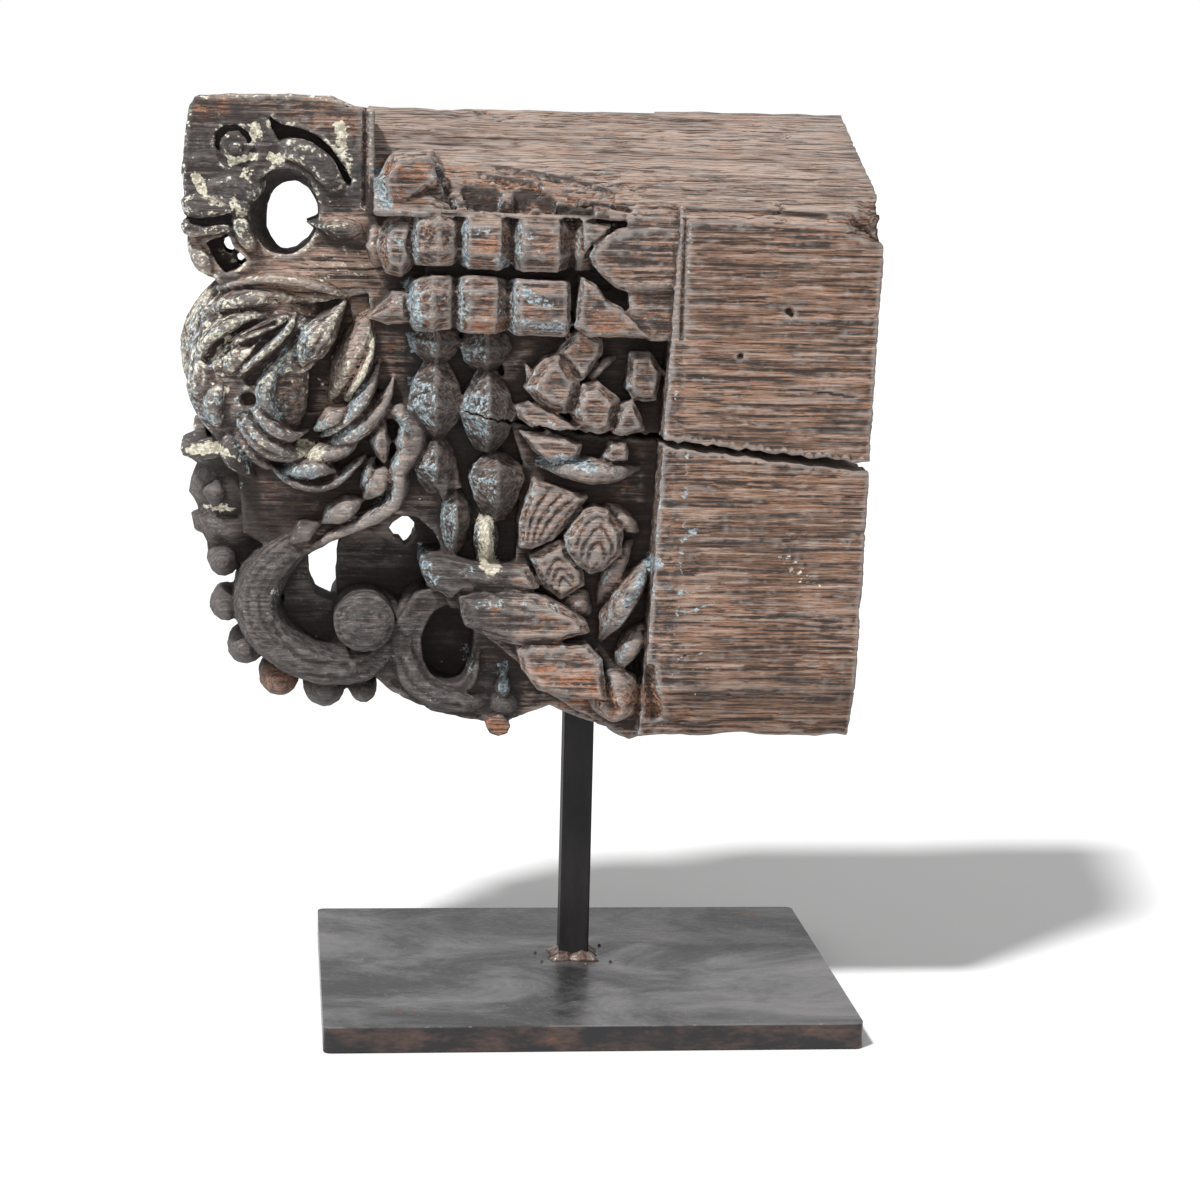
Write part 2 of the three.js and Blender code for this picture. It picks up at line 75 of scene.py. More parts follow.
table_build = bmesh.new()
bmesh.ops.create_grid(table_build, x_segments=1, y_segments=1, size=40.0)
table_mesh = bpy.data.meshes.new("table_top")
table_build.to_mesh(table_mesh)
table_build.free()
table_top = linked_object("table_top", table_mesh)
table_top.location.z = -0.0004

table_paint = bpy.data.materials.new("table_paint")
table_paint.use_nodes = True
table_shader = table_paint.node_tree.nodes["Principled BSDF"]
table_shader.inputs["Base Color"].default_value = (0.8, 0.8, 0.8, 1.0)
table_shader.inputs["Roughness"].default_value = 0.9
table_shader.inputs["Specular IOR Level"].default_value = 0.1
table_mesh.materials.append(table_paint)


def far_light(name, comes_from, spread, strength):
    light_data = bpy.data.lights.new(name, "SUN")
    light_data.angle = math.radians(spread)
    light_data.energy = strength
    light = bpy.data.objects.new(name, light_data)
    light.matrix_world = (-Vector(comes_from)).to_track_quat("-Z", "Y").to_matrix().to_4x4()
    scene.collection.objects.link(light)


far_light("key_light", (-0.52, -0.50, 1.0), 6.0, 3.7)
far_light("fill_light", (-0.15, -1.0, 0.25), 40.0, 0.3)

room = bpy.data.worlds.new("white_room")
room.use_nodes = True
room_nodes = room.node_tree.nodes
room_nodes["Background"].inputs["Color"].default_value = (1.0, 1.0, 1.0, 1.0)
seen_straight = room_nodes.new("ShaderNodeLightPath").outputs["Is Camera Ray"]
room_strength = room_nodes.new("ShaderNodeMapRange")
room_strength.inputs["To Min"].default_value = 0.51
room_strength.inputs["To Max"].default_value = 1.0
room.node_tree.links.new(seen_straight, room_strength.inputs["Value"])
room.node_tree.links.new(room_strength.outputs["Result"], room_nodes["Background"].inputs["Strength"])
scene.world = room
scene.view_settings.view_transform = "Standard"


# Shader building
# Every finish below is made of the same few layers: a noise that is stretched along the grain or left even,
# a ramp that cuts it to patches, a mix of two colours by that ramp, and a bump of the same noise.

class Finish:
    def __init__(self, name):
        self.material = bpy.data.materials.new(name)
        self.material.use_nodes = True
        self.tree = self.material.node_tree
        self.shader = self.tree.nodes["Principled BSDF"]
        self.place = self.tree.nodes.new("ShaderNodeTexCoord").outputs["Object"]

    def stretched(self, scale):
        mapping = self.tree.nodes.new("ShaderNodeMapping")
        mapping.inputs["Scale"].default_value = scale
        self.tree.links.new(self.place, mapping.inputs["Vector"])
        return mapping.outputs["Vector"]

    def noise(self, scale, detail=4.0, roughness=0.55, distortion=0.0):
        texture = self.tree.nodes.new("ShaderNodeTexNoise")
        texture.inputs["Scale"].default_value = 1.0
        texture.inputs["Detail"].default_value = detail
        texture.inputs["Roughness"].default_value = roughness
        texture.inputs["Distortion"].default_value = distortion
        self.tree.links.new(self.stretched(scale), texture.inputs["Vector"])
        return texture.outputs["Fac"]

    def patch(self, value, low, high, to_low=0.0, to_high=1.0):
        spread = self.tree.nodes.new("ShaderNodeMapRange")
        spread.interpolation_type = "SMOOTHSTEP"
        spread.inputs["From Min"].default_value = low
        spread.inputs["From Max"].default_value = high
        spread.inputs["To Min"].default_value = to_low
        spread.inputs["To Max"].default_value = to_high
        self.tree.links.new(value, spread.inputs["Value"])
        return spread.outputs["Result"]

    def sum_up(self, operation, *values):
        total = values[0]
        for value in values[1:]:
            node = self.tree.nodes.new("ShaderNodeMath")
            node.operation = operation
            for socket, part in zip(node.inputs, (total, value)):
                if isinstance(part, (int, float)):
                    socket.default_value = part
                else:
                    self.tree.links.new(part, socket)
            total = node.outputs["Value"]
        return total

    def plus(self, *values):
        return self.sum_up("ADD", *values)

    def times(self, *values):
        return self.sum_up("MULTIPLY", *values)

    def attribute(self, name):
        node = self.tree.nodes.new("ShaderNodeAttribute")
        node.attribute_name = name
        return node.outputs["Fac"]

    def blend(self, amount, base, top):
        mix = self.tree.nodes.new("ShaderNodeMix")
        mix.data_type = "RGBA"
        for socket, value in ((mix.inputs[0], amount), (mix.inputs[6], base), (mix.inputs[7], top)):
            if isinstance(value, tuple):
                socket.default_value = (*value, 1.0)
            elif isinstance(value, (int, float)):
                socket.default_value = value
            else:
                self.tree.links.new(value, socket)
        return mix.outputs[2]

    def bump(self, height, distance, strength=1.0, under=None):
        node = self.tree.nodes.new("ShaderNodeBump")
        node.inputs["Strength"].default_value = strength
        node.inputs["Distance"].default_value = distance
        self.tree.links.new(height, node.inputs["Height"])
        if under is not None:
            self.tree.links.new(under, node.inputs["Normal"])
        return node.outputs["Normal"]

    def finish(self, colour, roughness, normal):
        self.tree.links.new(colour, self.shader.inputs["Base Color"])
        self.tree.links.new(roughness, self.shader.inputs["Roughness"])
        self.tree.links.new(normal, self.shader.inputs["Normal"])
        return self.material


# Steel plate
# A flat offcut of hot-rolled 10 mm plate with its corners and edges just eased. Its grey mill scale is
# mottled and lightly waxed, with a purplish bloom and rust freckles along the cut edges.

plate_finish = Finish("plate_mill_scale")
plate_cloud = plate_finish.noise((14.0, 22.0, 40.0), detail=7.0, roughness=0.7, distortion=0.6)
plate_speck = plate_finish.noise((260.0, 420.0, 300.0), detail=4.0, roughness=0.7)
plate_rust = plate_finish.noise((50.0, 50.0, 160.0), detail=6.0, roughness=0.75)
plate_colour = plate_finish.blend(plate_finish.patch(plate_cloud, 0.38, 0.62), (0.055, 0.054, 0.058),
                                  (0.215, 0.210, 0.213))
plate_colour = plate_finish.blend(plate_finish.patch(plate_cloud, 0.55, 0.75), plate_colour, (0.300, 0.275, 0.278))
plate_colour = plate_finish.blend(plate_finish.patch(plate_speck, 0.56, 0.78), plate_colour, (0.34, 0.335, 0.33))
plate_height = plate_finish.tree.nodes.new("ShaderNodeSeparateXYZ")
plate_finish.tree.links.new(plate_finish.place, plate_height.inputs["Vector"])
plate_side = plate_finish.patch(plate_height.outputs["Z"], 0.0092, 0.0098, 1.0, 0.0)
plate_colour = plate_finish.blend(plate_side, plate_colour, plate_finish.blend(
    plate_finish.patch(plate_rust, 0.42, 0.66), (0.028, 0.027, 0.029), (0.095, 0.062, 0.052)))
plate_colour = plate_finish.blend(plate_finish.patch(plate_rust, 0.63, 0.70), plate_colour, (0.20, 0.075, 0.03))
plate_finish.shader.inputs["Metallic"].default_value = 0.55
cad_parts["stand_plate"].material_slots[0].material = plate_finish.finish(
    plate_colour, plate_finish.patch(plate_speck, 0.2, 0.8, 0.2, 0.42), plate_finish.bump(plate_speck, 0.00006, 0.35))


# Post
# A length of 12 mm square bar, near black with mill scale and touched with thin rust, that stands on the plate
# and goes up into a socket in the underside of the wood.

post_finish = Finish("post_black_bar")
post_cloud = post_finish.noise((70.0, 70.0, 22.0), detail=6.0, roughness=0.65)
post_speck = post_finish.noise((500.0, 500.0, 300.0), detail=3.0)
post_colour = post_finish.blend(post_finish.patch(post_cloud, 0.35, 0.6), (0.009, 0.008, 0.009),
                                (0.021, 0.018, 0.019))
post_colour = post_finish.blend(post_finish.patch(post_cloud, 0.6, 0.75), post_colour, (0.07, 0.035, 0.022))
post_finish.shader.inputs["Metallic"].default_value = 0.4
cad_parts["stand_post"].material_slots[0].material = post_finish.finish(
    post_colour, post_finish.patch(post_cloud, 0.1, 0.9, 0.5, 0.72), post_finish.bump(post_speck, 0.00012, 0.5))


# Weld
# A hand-laid fillet of weld metal round the foot of the post, thin and uneven, with a few spatter drops. It was
# wire brushed bright and has gone brown at its toes.

# In millimetres: how far back the post stands on the plate, half its width, and the height of the plate's top.
POST_SETBACK = 11.0
POST_HALF = 6
PLATE_TOP = 10

weld = bmesh.new()
weld_loops = []
stations_a_side = 36
for i in range(4 * stations_a_side):
    side, share = divmod(i / stations_a_side, 1.0)
    reach = 4.3 + 0.9 * math.sin(i * 0.1745 + 2) + 0.4 * math.sin(i * 0.3927) + 0.2 * math.sin(i * 0.7418)
    climb = 3.0 + 0.5 * math.sin(i * 0.2618 + 0.6) + 0.15 * math.sin(i * 0.7418)
    corner = 1.0 - 0.32 * (1 - min(share, 1 - share) * 2) ** 3
    loop = []
    for out, high in ((5.9, 10.02), (POST_HALF + reach * corner, 10.02),
                      (POST_HALF + reach * 0.62 * corner, PLATE_TOP + climb * 0.38),
                      (POST_HALF + reach * 0.26, PLATE_TOP + climb * 0.7),
                      (6.05, PLATE_TOP + climb), (5.9, PLATE_TOP + climb)):
        along = (share * 2 - 1) * out
        x, y = ((along, -out), (out, along), (-along, out), (-out, -along))[int(side)]
        loop.append(weld.verts.new((x / 1000, (y + POST_SETBACK) / 1000, high / 1000)))
    weld_loops.append(loop)
for first, second in zip(weld_loops, weld_loops[1:] + weld_loops[:1]):
    for i in range(6):
        weld.faces.new((first[i], second[i], second[(i + 1) % 6], first[(i + 1) % 6]))
for x, y, size in ((14.5, -11.0, 0.7), (-13.5, -10.2, 0.6), (4.0, -14.5, 0.5), (-15.0, 3.0, 0.6), (12.5, 13.5, 0.7)):
    bmesh.ops.create_icosphere(weld, subdivisions=2, radius=size / 1000,
                               matrix=Matrix.Translation((x / 1000, (y + POST_SETBACK) / 1000, 0.0102)))
bmesh.ops.recalc_face_normals(weld, faces=weld.faces[:])
weld_mesh = bpy.data.meshes.new("weld_metal")
weld.to_mesh(weld_mesh)
weld.free()
weld_mesh.polygons.foreach_set("use_smooth", [True] * len(weld_mesh.polygons))
weld_run = linked_object("weld_run", weld_mesh)

weld_finish = Finish("weld_metal")
weld_cloud = weld_finish.noise((260.0, 260.0, 260.0), detail=3.0)
weld_colour = weld_finish.blend(weld_finish.patch(weld_cloud, 0.42, 0.6), (0.26, 0.21, 0.185),
                                (0.085, 0.048, 0.036))
weld_finish.shader.inputs["Metallic"].default_value = 0.6
weld_mesh.materials.append(weld_finish.finish(
    weld_colour, weld_finish.patch(weld_cloud, 0.2, 0.8, 0.35, 0.65), weld_finish.bump(weld_cloud, 0.0006)))
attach(weld_run, "root")
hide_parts("weld_bead")


# Corbel blank
# One teak beam end, 268 mm long, 246 high and 110 thick. The tail was built into a wall and stayed square, the
# rest was sawn and chiselled down to a core that carries the carving of each cheek.
# Drawn in millimetres from the post's axis and the corbel's underside, x to the tail, y out of the back cheek.

UNDERSIDE = 107.0
HALF = 55.0
TOP = 246.0
TOP_SLOPE_DROP = 38.0

blank = bmesh.new()


def add_form(build, form):
    """The finished form goes into the build, with its faces turned outwards."""
    bmesh.ops.recalc_face_normals(form, faces=form.faces[:])
    mesh = bpy.data.meshes.new("form")
    form.to_mesh(mesh)
    form.free()
    build.from_mesh(mesh)
    bpy.data.meshes.remove(mesh)


def slab(build, outline, near, far):
    """A cheek outline pushed through the thickness."""
    form = bmesh.new()
    front = form.faces.new([form.verts.new((x, near, z)) for x, z in outline])
    pushed = bmesh.ops.extrude_face_region(form, geom=[front])["geom"]
    bmesh.ops.translate(form, vec=(0.0, far - near, 0.0),
                        verts=[part for part in pushed if isinstance(part, bmesh.types.BMVert)])
    add_form(build, form)


def beam(build, section, start, start_lean, end, end_lean):
    """A cross section pushed along the length, whose two ends lean from the upright."""
    form = bmesh.new()
    near = form.faces.new([form.verts.new((start + (z - TOP) * start_lean, y, z)) for y, z in section])
    pushed = bmesh.ops.extrude_face_region(form, geom=[near])["geom"]
    for vert in [part for part in pushed if isinstance(part, bmesh.types.BMVert)]:
        vert.co.x = end + (vert.co.z - TOP) * end_lean
    add_form(build, form)


def top_height(y):
    """Height of the top, which slopes down to the front cheek."""
    return TOP - TOP_SLOPE_DROP * (HALF - y) / (2 * HALF)


tail_section = [(-55, 24.5), (-45, 4.5), (45, 4.5), (55, 24.5), (55, 242), (51, top_height(51)),
                (-51, top_height(-51)), (-55, top_height(-55) - 4)]
block_section = [(-50, 204), (50, 204), (50, top_height(50) - 4), (48, top_height(48)), (-46, top_height(-46)),
                 (-50, top_height(-50) - 3)]
core_outline = [(-88, 206), (-88, 182), (-84, 140), (-74, 118), (-78, 95), (-96, 84), (-98, 62), (-97, 44),
                (-90, 30), (-76, 18), (-60, 10), (-34, 5), (-14, 13), (0, 6), (17, 1), (36, 4), (36, 206)]
steps_outline = [(-60, 66), (-52, 48), (-41, 42), (-28, 32), (-17, 20), (1, 9), (17, 1), (34, 4), (34, 66), (18, 64),
                 (2, 58), (-30, 60)]
bird_outline = [(-84, 202), (-112, 187), (-135, 182), (-150, 166), (-154, 148), (-150, 128), (-140, 117),
                (-136, 100), (-134, 80), (-122, 72), (-104, 78), (-84, 92), (-70, 97), (-64, 120), (-70, 150)]
head_outline = [(-155.5, 242.5), (-153.5, 246), (-138, 247), (-118.5, 247.5), (-102.5, 247), (-97, 245), (-91, 243.5),
                (-86, 243), (-85, 174), (-118, 167.5), (-139.5, 171.5), (-145, 177), (-149, 182.5), (-152.5, 187),
                (-155.5, 193.5), (-157.5, 196), (-157.5, 198.5), (-156.5, 201), (-157.5, 205.5), (-157.5, 211),
                (-158.5, 217.5), (-158, 223.5), (-157, 233)]

beam(blank, tail_section, 31.0, 0.048, 108.0, 0.026)
beam(blank, block_section, -86.0, 0.0, 35.0, 0.0)
slab(blank, core_outline, -27, 27)
slab(blank, steps_outline, -34, 34)
slab(blank, bird_outline, -23, 23)
slab(blank, head_outline, -27, 27)


def ball(build, x, z, across, tall, face, y=0.0):
    form = bmesh.new()
    bmesh.ops.create_uvsphere(form, u_segments=32, v_segments=24, radius=1.0)
    bmesh.ops.scale(form, vec=(across, face, tall), verts=form.verts[:])
    bmesh.ops.translate(form, vec=(x, y, z), verts=form.verts[:])
    add_form(build, form)


ball(blank, -124.5, 149, 35, 34, 38)
slab(blank, [(-36, 160), (33, 160), (33, 58), (-30, 60), (-27, 110), (-34, 130)], -34, 34)
slab(blank, [(-66, 206), (33, 206), (33, 161), (-66, 161)], -34, 34)


def loose_object(name, build):
    mesh = bpy.data.meshes.new(name)
    build.to_mesh(mesh)
    build.free()
    return linked_object(name, mesh)


# Hollows
# Drilled and gouged out of the blank before the carving: the opening behind the neck, two small ones under the
# beak, the pocket in the great scroll, the eye of the small one, and shallower gouged grounds of head and wing.

def rounded(outline, steps=4):
    """The closed outline with its corners taken to a smooth curve."""
    ring = [Vector(point) for point in outline]
    curve = []
    for i in range(len(ring)):
        p0, p1, p2, p3 = (ring[(i + shift) % len(ring)] for shift in (-1, 0, 1, 2))
        for step in range(steps):
            t = step / steps
            curve.append(tuple((p1 * 2 + (p2 - p0) * t + (p0 * 2 - p1 * 5 + p2 * 4 - p3) * t * t
                                + (p1 * 3 - p0 - p2 * 3 + p3) * t ** 3) / 2))
    return curve


hollows = bmesh.new()
pocket = rounded([(-107, 74), (-98, 78), (-88, 84), (-78, 88), (-66, 86), (-58, 76), (-60, 60), (-68, 56),
                  (-76, 44), (-92, 36), (-108, 40), (-117, 48), (-117, 62)])
scroll_eye = rounded([(-65, 38), (-63, 27), (-56, 21.5), (-48, 23), (-44.5, 36), (-46, 48), (-53, 52.5), (-61, 49)])
neck_groove = [(-127, 241), (-121.5, 237), (-112, 235), (-107, 232.5), (-102, 228.5), (-97, 222), (-94, 216),
               (-95, 213.5), (-98.5, 217), (-103, 222), (-108.5, 227), (-115.5, 229.5), (-122, 230), (-125, 235)]
eye_hollow = [(-146, 233), (-143, 236), (-137.5, 236.5), (-133.5, 233.5), (-131.5, 229), (-134, 229), (-134.5, 231),
              (-137.5, 233), (-141, 233), (-143.5, 230.5), (-144.5, 226), (-146.3, 228)]
beak_recess = [(-149.5, 191.5), (-141, 195), (-138.5, 190), (-133, 185), (-137.5, 181.5), (-142, 180), (-145.5, 184)]
wing_hollow = rounded([(-94.5, 171), (-93, 160), (-95.5, 151), (-99, 140), (-103, 128.5), (-111.5, 127), (-119, 130),
                       (-120.5, 136), (-118.5, 143.5), (-112, 143), (-104.5, 150), (-99, 157), (-97, 164.5)])
for cheek in (-1, 1):
    for outline, floor in ((pocket, 6), (scroll_eye, 6), (neck_groove, 18), (eye_hollow, 23), (beak_recess, 14),
                           (wing_hollow, 20)):
        slab(hollows, outline, cheek * 45, cheek * floor)


def loft(build, rings):
    """A closed form over rings of points, with flat ends."""
    form = bmesh.new()
    loops = [[form.verts.new(point) for point in ring] for ring in rings]
    for first, second in zip(loops, loops[1:]):
        for i in range(len(first)):
            after = (i + 1) % len(first)
            form.faces.new((first[i], first[after], second[after], second[i]))
    form.faces.new(loops[0])
    form.faces.new(loops[-1])
    add_form(build, form)


def tapered_hole(build, mouth, mouth_reach, inner, inner_reach, near, far, sides=48):
    """An oval hole from its mouth on the cheek to its narrower inside."""
    angles = [2 * math.pi * i / sides for i in range(sides)]
    loft(build, [[(x + across * math.cos(angle), depth, z + tall * math.sin(angle)) for angle in angles]
                 for (x, z), (across, tall), depth in ((mouth, mouth_reach, near), (inner, inner_reach, far))])


for cheek in (-1, 1):
    tapered_hole(hollows, (-119.8, 204), (13.6, 16.8), (-116.5, 201.2), (10.3, 14), cheek * 28, cheek * 5)
    tapered_hole(hollows, (-140.2, 190.4), (3.4, 3.6), (-140.2, 190.4), (2.6, 3), cheek * 24, cheek * -1, 16)
    tapered_hole(hollows, (-135.4, 185.1), (3, 2.8), (-135.4, 185.1), (2.4, 2.2), cheek * 24, cheek * -1, 16)
tapered_hole(hollows, (-116.5, 201.2), (10.3, 14), (-116.5, 201.2), (10.3, 14), -6, 6)


def along_curve(points, t):
    """Place and direction at t from 0 to 1 on a smooth line through the points."""
    count = len(points) - 1
    step = min(int(t * count), count - 1)
    share = t * count - step
    p1, p2 = Vector(points[step]), Vector(points[step + 1])
    p0 = Vector(points[step - 1]) if step else p1 * 2 - p2
    p3 = Vector(points[step + 2]) if step + 2 <= count else p2 * 2 - p1
    a, b = p2 - p0, p0 * 2 - p1 * 5 + p2 * 4 - p3
    c = p1 * 3 - p0 - p2 * 3 + p3
    place = p1 + (a * share + b * share ** 2 + c * share ** 3) / 2
    heading = (a + b * 2 * share + c * 3 * share ** 2).normalized()
    return place, heading


def between(values, t):
    """The value at t from 0 to 1, of one that stays or of several spread evenly."""
    if isinstance(values, (int, float)):
        return values
    return float(np.interp(t * (len(values) - 1), range(len(values)), values))


def leaf(build, spine, width, face, keel=1.0, cheek=-1, root=4.0, rings=30, blunt=0.55, square=0.65):
    """A leaf, feather, band or bud: a ball drawn out along a line on the cheek, from its root to its face."""
    form = bmesh.new()
    for vert in bmesh.ops.create_uvsphere(form, u_segments=20, v_segments=rings, radius=1.0)["verts"]:
        t = math.acos(max(-1.0, min(1.0, vert.co.z))) / math.pi
        radius = math.hypot(vert.co.x, vert.co.y)
        swell = radius ** blunt if radius > 1e-6 else 0.0
        c, s = (vert.co.x / radius, vert.co.y / radius) if radius > 1e-6 else (0.0, 0.0)
        place, heading = along_curve(spine, t)
        across = math.copysign(abs(c) ** square, c) * swell * between(width, t)
        front = between(face, t)
        out = math.copysign(abs(s) ** (square * keel), s) * swell * (front - root) / 2
        vert.co = (place.x - heading.y * across, cheek * ((front + root) / 2 + out), place.y + heading.x * across)
    add_form(build, form)


# Bead rows
# Two rows of square-cut beads with sharp notches between them, cut in relief along the block's head. Each runs
# into a plain billet against the tail, and a strap, a squared bead and a wedge fill the corner behind the neck.

carving = bmesh.new()


def notched_bar(build, stations, cheek, root=4.0):
    """A bar with chamfered front arrises, from its place, mid height, half height and face at each station."""
    loft(build, [[(x, cheek * y, z + high) for y, high in (
        (root, half), (face - 4.5, half), (face, half - 5), (face, 5.5 - half), (face - 5.5, -half), (root, -half))]
        for x, z, half, face in stations])


upper_row = [(-73, 195, 8, 42), (-70, 196, 10.5, 49), (-62, 196.5, 11, 53), (-56.5, 196, 10.4, 50.5),
             (-53.8, 195.8, 9.8, 45), (-52, 195.8, 10.6, 50.5), (-50.5, 195.7, 11, 53), (-39, 195.4, 11, 53),
             (-33.6, 195.2, 9.6, 44.5), (-31.8, 195.2, 10.6, 50.5), (-30, 195.1, 11, 53), (-17, 194.8, 11, 53),
             (-10.6, 194.5, 9, 44), (-8.5, 194.4, 10, 49), (0, 194.2, 9, 44), (20, 194, 9, 44)]
lower_row = [(-73, 170, 6, 42), (-70.5, 170, 9.5, 49), (-64, 171, 10.6, 53), (-57, 171.5, 10, 50.5),
             (-54.8, 171.5, 9.4, 45), (-53, 171, 10.4, 50.5), (-50, 171, 10.8, 53), (-40, 170.6, 10.6, 52.5),
             (-34.6, 170.4, 9.2, 45), (-32.6, 170.4, 10.4, 51), (-30.5, 170.2, 10.6, 53), (-13.5, 170, 10.4, 53),
             (-11.5, 170, 10, 50), (-11, 170, 6, 41), (-9, 170, 7, 42), (20, 170, 7, 42)]


def pad(build, outline, face, edge, fall, cheek=-1, root=4.0):
    """A flat-faced form with bevelled edges, cut straight down to its ground."""
    middle = sum((Vector(point) for point in outline), Vector((0.0, 0.0))) / len(outline)
    rings = []
    for inset, height in ((0.0, root), (0.0, face - fall), (edge, face)):
        ring = []
        for point in outline:
            inward = middle - Vector(point)
            spot = Vector(point) + inward.normalized() * min(inset, 0.8 * inward.length)
            ring.append((spot.x, cheek * height, spot.y))
        rings.append(ring)
    loft(build, rings)


row_pads = [
    ([(-85, 191), (-84, 198), (-80.5, 203), (-75.5, 204.5), (-71, 203.5), (-70.5, 192), (-71.5, 184), (-75.5, 180.5),
      (-81, 182)], 47, 4.5, 7),
    ([(-88, 165), (-84, 169.5), (-78.5, 174.5), (-73, 175.5), (-71, 170), (-72, 163), (-80, 162.5)], 45, 4, 6),
    ([(-85, 216.5), (-80.5, 225), (-78.5, 227), (-64.5, 228.5), (-60.5, 225.5), (-58, 213.5), (-64.5, 214),
      (-77, 206), (-83, 207.5)], 48, 3.5, 6),
    ([(-5, 190.5), (-2.5, 194.5), (1.5, 198), (7, 200.5), (12, 202), (31, 202), (32, 178), (11, 177), (6, 178.5),
      (0.5, 183), (-3.5, 187.5)], 53, 1.6, 2),
    ([(9.5, 202.5), (9.5, 206), (30.5, 206), (32.5, 159), (19.5, 158.5), (11, 163), (10.5, 177.5)], 51, 1, 1),
    ([(-8.5, 204), (3.5, 201.5), (1, 198), (-5, 193.5), (-7.5, 189.5)], 51, 2, 4),
    ([(-7.5, 182), (-2.5, 179.5), (2, 174), (8.5, 171), (15.5, 163), (20, 159.5), (-4.5, 160), (-10, 163.5)],
     53, 2, 2.5),
]
for cheek in (-1, 1):
    notched_bar(carving, upper_row, cheek)
    notched_bar(carving, lower_row, cheek)
    leaf(carving, [(-85, 182.5), (-84, 192), (-86.5, 200)], (3, 5, 3), 38, 0.8, cheek)
    for outline, face, edge, fall in row_pads:
        pad(carving, outline, face, edge, fall, cheek)


# Hanging strands
# Under the rows two strands of spindle beads hang side by side, each bead sharp-waisted and cut to six facets
# with an arris down its front.

def turned(build, profile, x, face, cheek, root=4.0, sides=6):
    """Beads turned about an upright line, from pairs of height and radius, drawn out from the core to the face."""
    depth = (face - root) / 2 / max(radius for _, radius in profile)
    middle = cheek * (face + root) / 2
    angles = [2 * math.pi * (i + 0.5) / sides for i in range(sides)]
    loft(build, [[(x + radius * math.cos(angle), middle + radius * math.sin(angle) * depth, height)
                  for angle in angles] for height, radius in profile])


# Each bead: its place along the length, the heights of its top, belly and foot, its radius and its face.
strands = [
    (-61.5, (164, 156, 147), 11, 46), (-61.5, (149, 131, 119), 12.2, 49), (-61, (120, 108, 97), 9.5, 46),
    (-53, (99, 88, 72), 6.5, 44), (-42.5, (164, 154, 144), 11.5, 48), (-41.5, (145, 128, 114), 12, 52),
    (-37.5, (113, 104, 87), 12.4, 51), (-41, (90, 80, 68), 5.5, 46),
]
for cheek in (-1, 1):
    for x, (top, belly, foot), radius, face in strands:
        turned(carving, [(top, 0.36 * radius), ((top + belly) / 2, 0.84 * radius), (belly, radius),
                         ((belly + foot) / 2, 0.78 * radius), (foot, 0.36 * radius)], x, face, cheek)


# Bud and leaf drop
# Between the strands and the tail hangs a drop: a knot of buds, a split collar, folded leaves under it, and
# stepped leaves that sweep out at the foot of the cheek.

bud_pads = [
    ([(-28, 139.5), (-24, 147), (-20.5, 151), (-15.5, 153), (-10.5, 147.5), (-7, 142.5), (-8, 137.5), (-12, 130),
      (-18.5, 131.5), (-24, 135)], 51, 4, 5.5),
    ([(-15.5, 153.5), (-12, 158.5), (-8.5, 163), (-3.5, 161), (1.5, 158), (1.5, 152.5), (-6, 142.5), (-10.5, 147)],
     48, 2.5, 4),
    ([(-11, 130.5), (-9, 137), (-6, 141), (0, 142.5), (8.5, 135.5), (7.5, 130), (5.5, 123.5), (0, 121.5), (-7, 124)],
     50, 4, 5.5),
    ([(6, 123), (7, 129), (9.5, 134), (13.5, 135.5), (17.5, 128.5), (18.5, 124), (9.5, 121)], 49, 2.5, 4),
    ([(11, 140), (11.5, 147.5), (12.5, 153.5), (20, 154), (24.5, 147), (22.5, 135.5), (17.5, 135), (13.5, 136)],
     48, 2.5, 4),
    ([(-31, 132.5), (-26, 134), (-15, 129.5), (-6.5, 124), (-14.5, 123), (-24.5, 124.5), (-30, 128.5)], 49, 1.8, 4),
    ([(-27.5, 148.5), (-23.5, 145), (-23.5, 139.5), (-27, 138)], 44, 1.5, 2),
]
drop_pads = [
    ([(-29, 122.5), (-17.5, 122), (-5, 118), (-6.5, 114.5), (-10.5, 111.5), (-17.5, 111), (-24, 115.5)], 49, 2, 4),
    ([(2.5, 113.5), (5.5, 119), (11.5, 119), (12.5, 115.5), (12, 112.5), (4.5, 111.5)], 48, 1.5, 3),
    ([(-28.5, 78), (-29, 87.5), (-26.5, 96.5), (-23.5, 104), (-13.5, 101), (-2.5, 98), (-6.5, 92), (-11.5, 85.5),
      (-16.5, 81), (-24, 77.5)], 48, 3, 4),
    ([(-11.5, 82.5), (-8.5, 88), (-4.5, 93), (0, 94.5), (5, 93.5), (11, 85.5), (11, 76.5), (7, 72.5), (3.5, 69.5),
      (-1.5, 68.5), (-6.5, 72), (-10.5, 77)], 51, 3, 4.5),
    ([(-24.5, 74), (-18, 78), (-12.5, 80.5), (-10, 75.5), (-3.5, 68), (-3, 63), (-12, 57.5), (-20, 63.5)],
     46, 3, 3.5),
    ([(-66, 72.5), (-62.5, 73.5), (-57.5, 73.5), (-45, 71), (-25.5, 70.5), (-21, 63), (-25, 61), (-52.5, 60.5),
      (-55, 58.5), (-64, 63), (-66.5, 68.5)], 51, 3.6, 4),
    ([(-52, 59.5), (-41.5, 61.5), (-26, 61.5), (-18.5, 59), (-10.5, 55), (-2.5, 50), (-1, 46), (-11.5, 43),
      (-21.5, 41), (-28, 40.5), (-39.5, 43.5), (-49.5, 48), (-51, 53)], 54, 4.5, 4),
    ([(-29, 39), (-24.5, 41.5), (-2, 41), (3.5, 35.5), (4.5, 28), (6, 19.5), (-7.5, 20), (-21, 23.5), (-27.5, 32)],
     54, 2.5, 2.5),
]
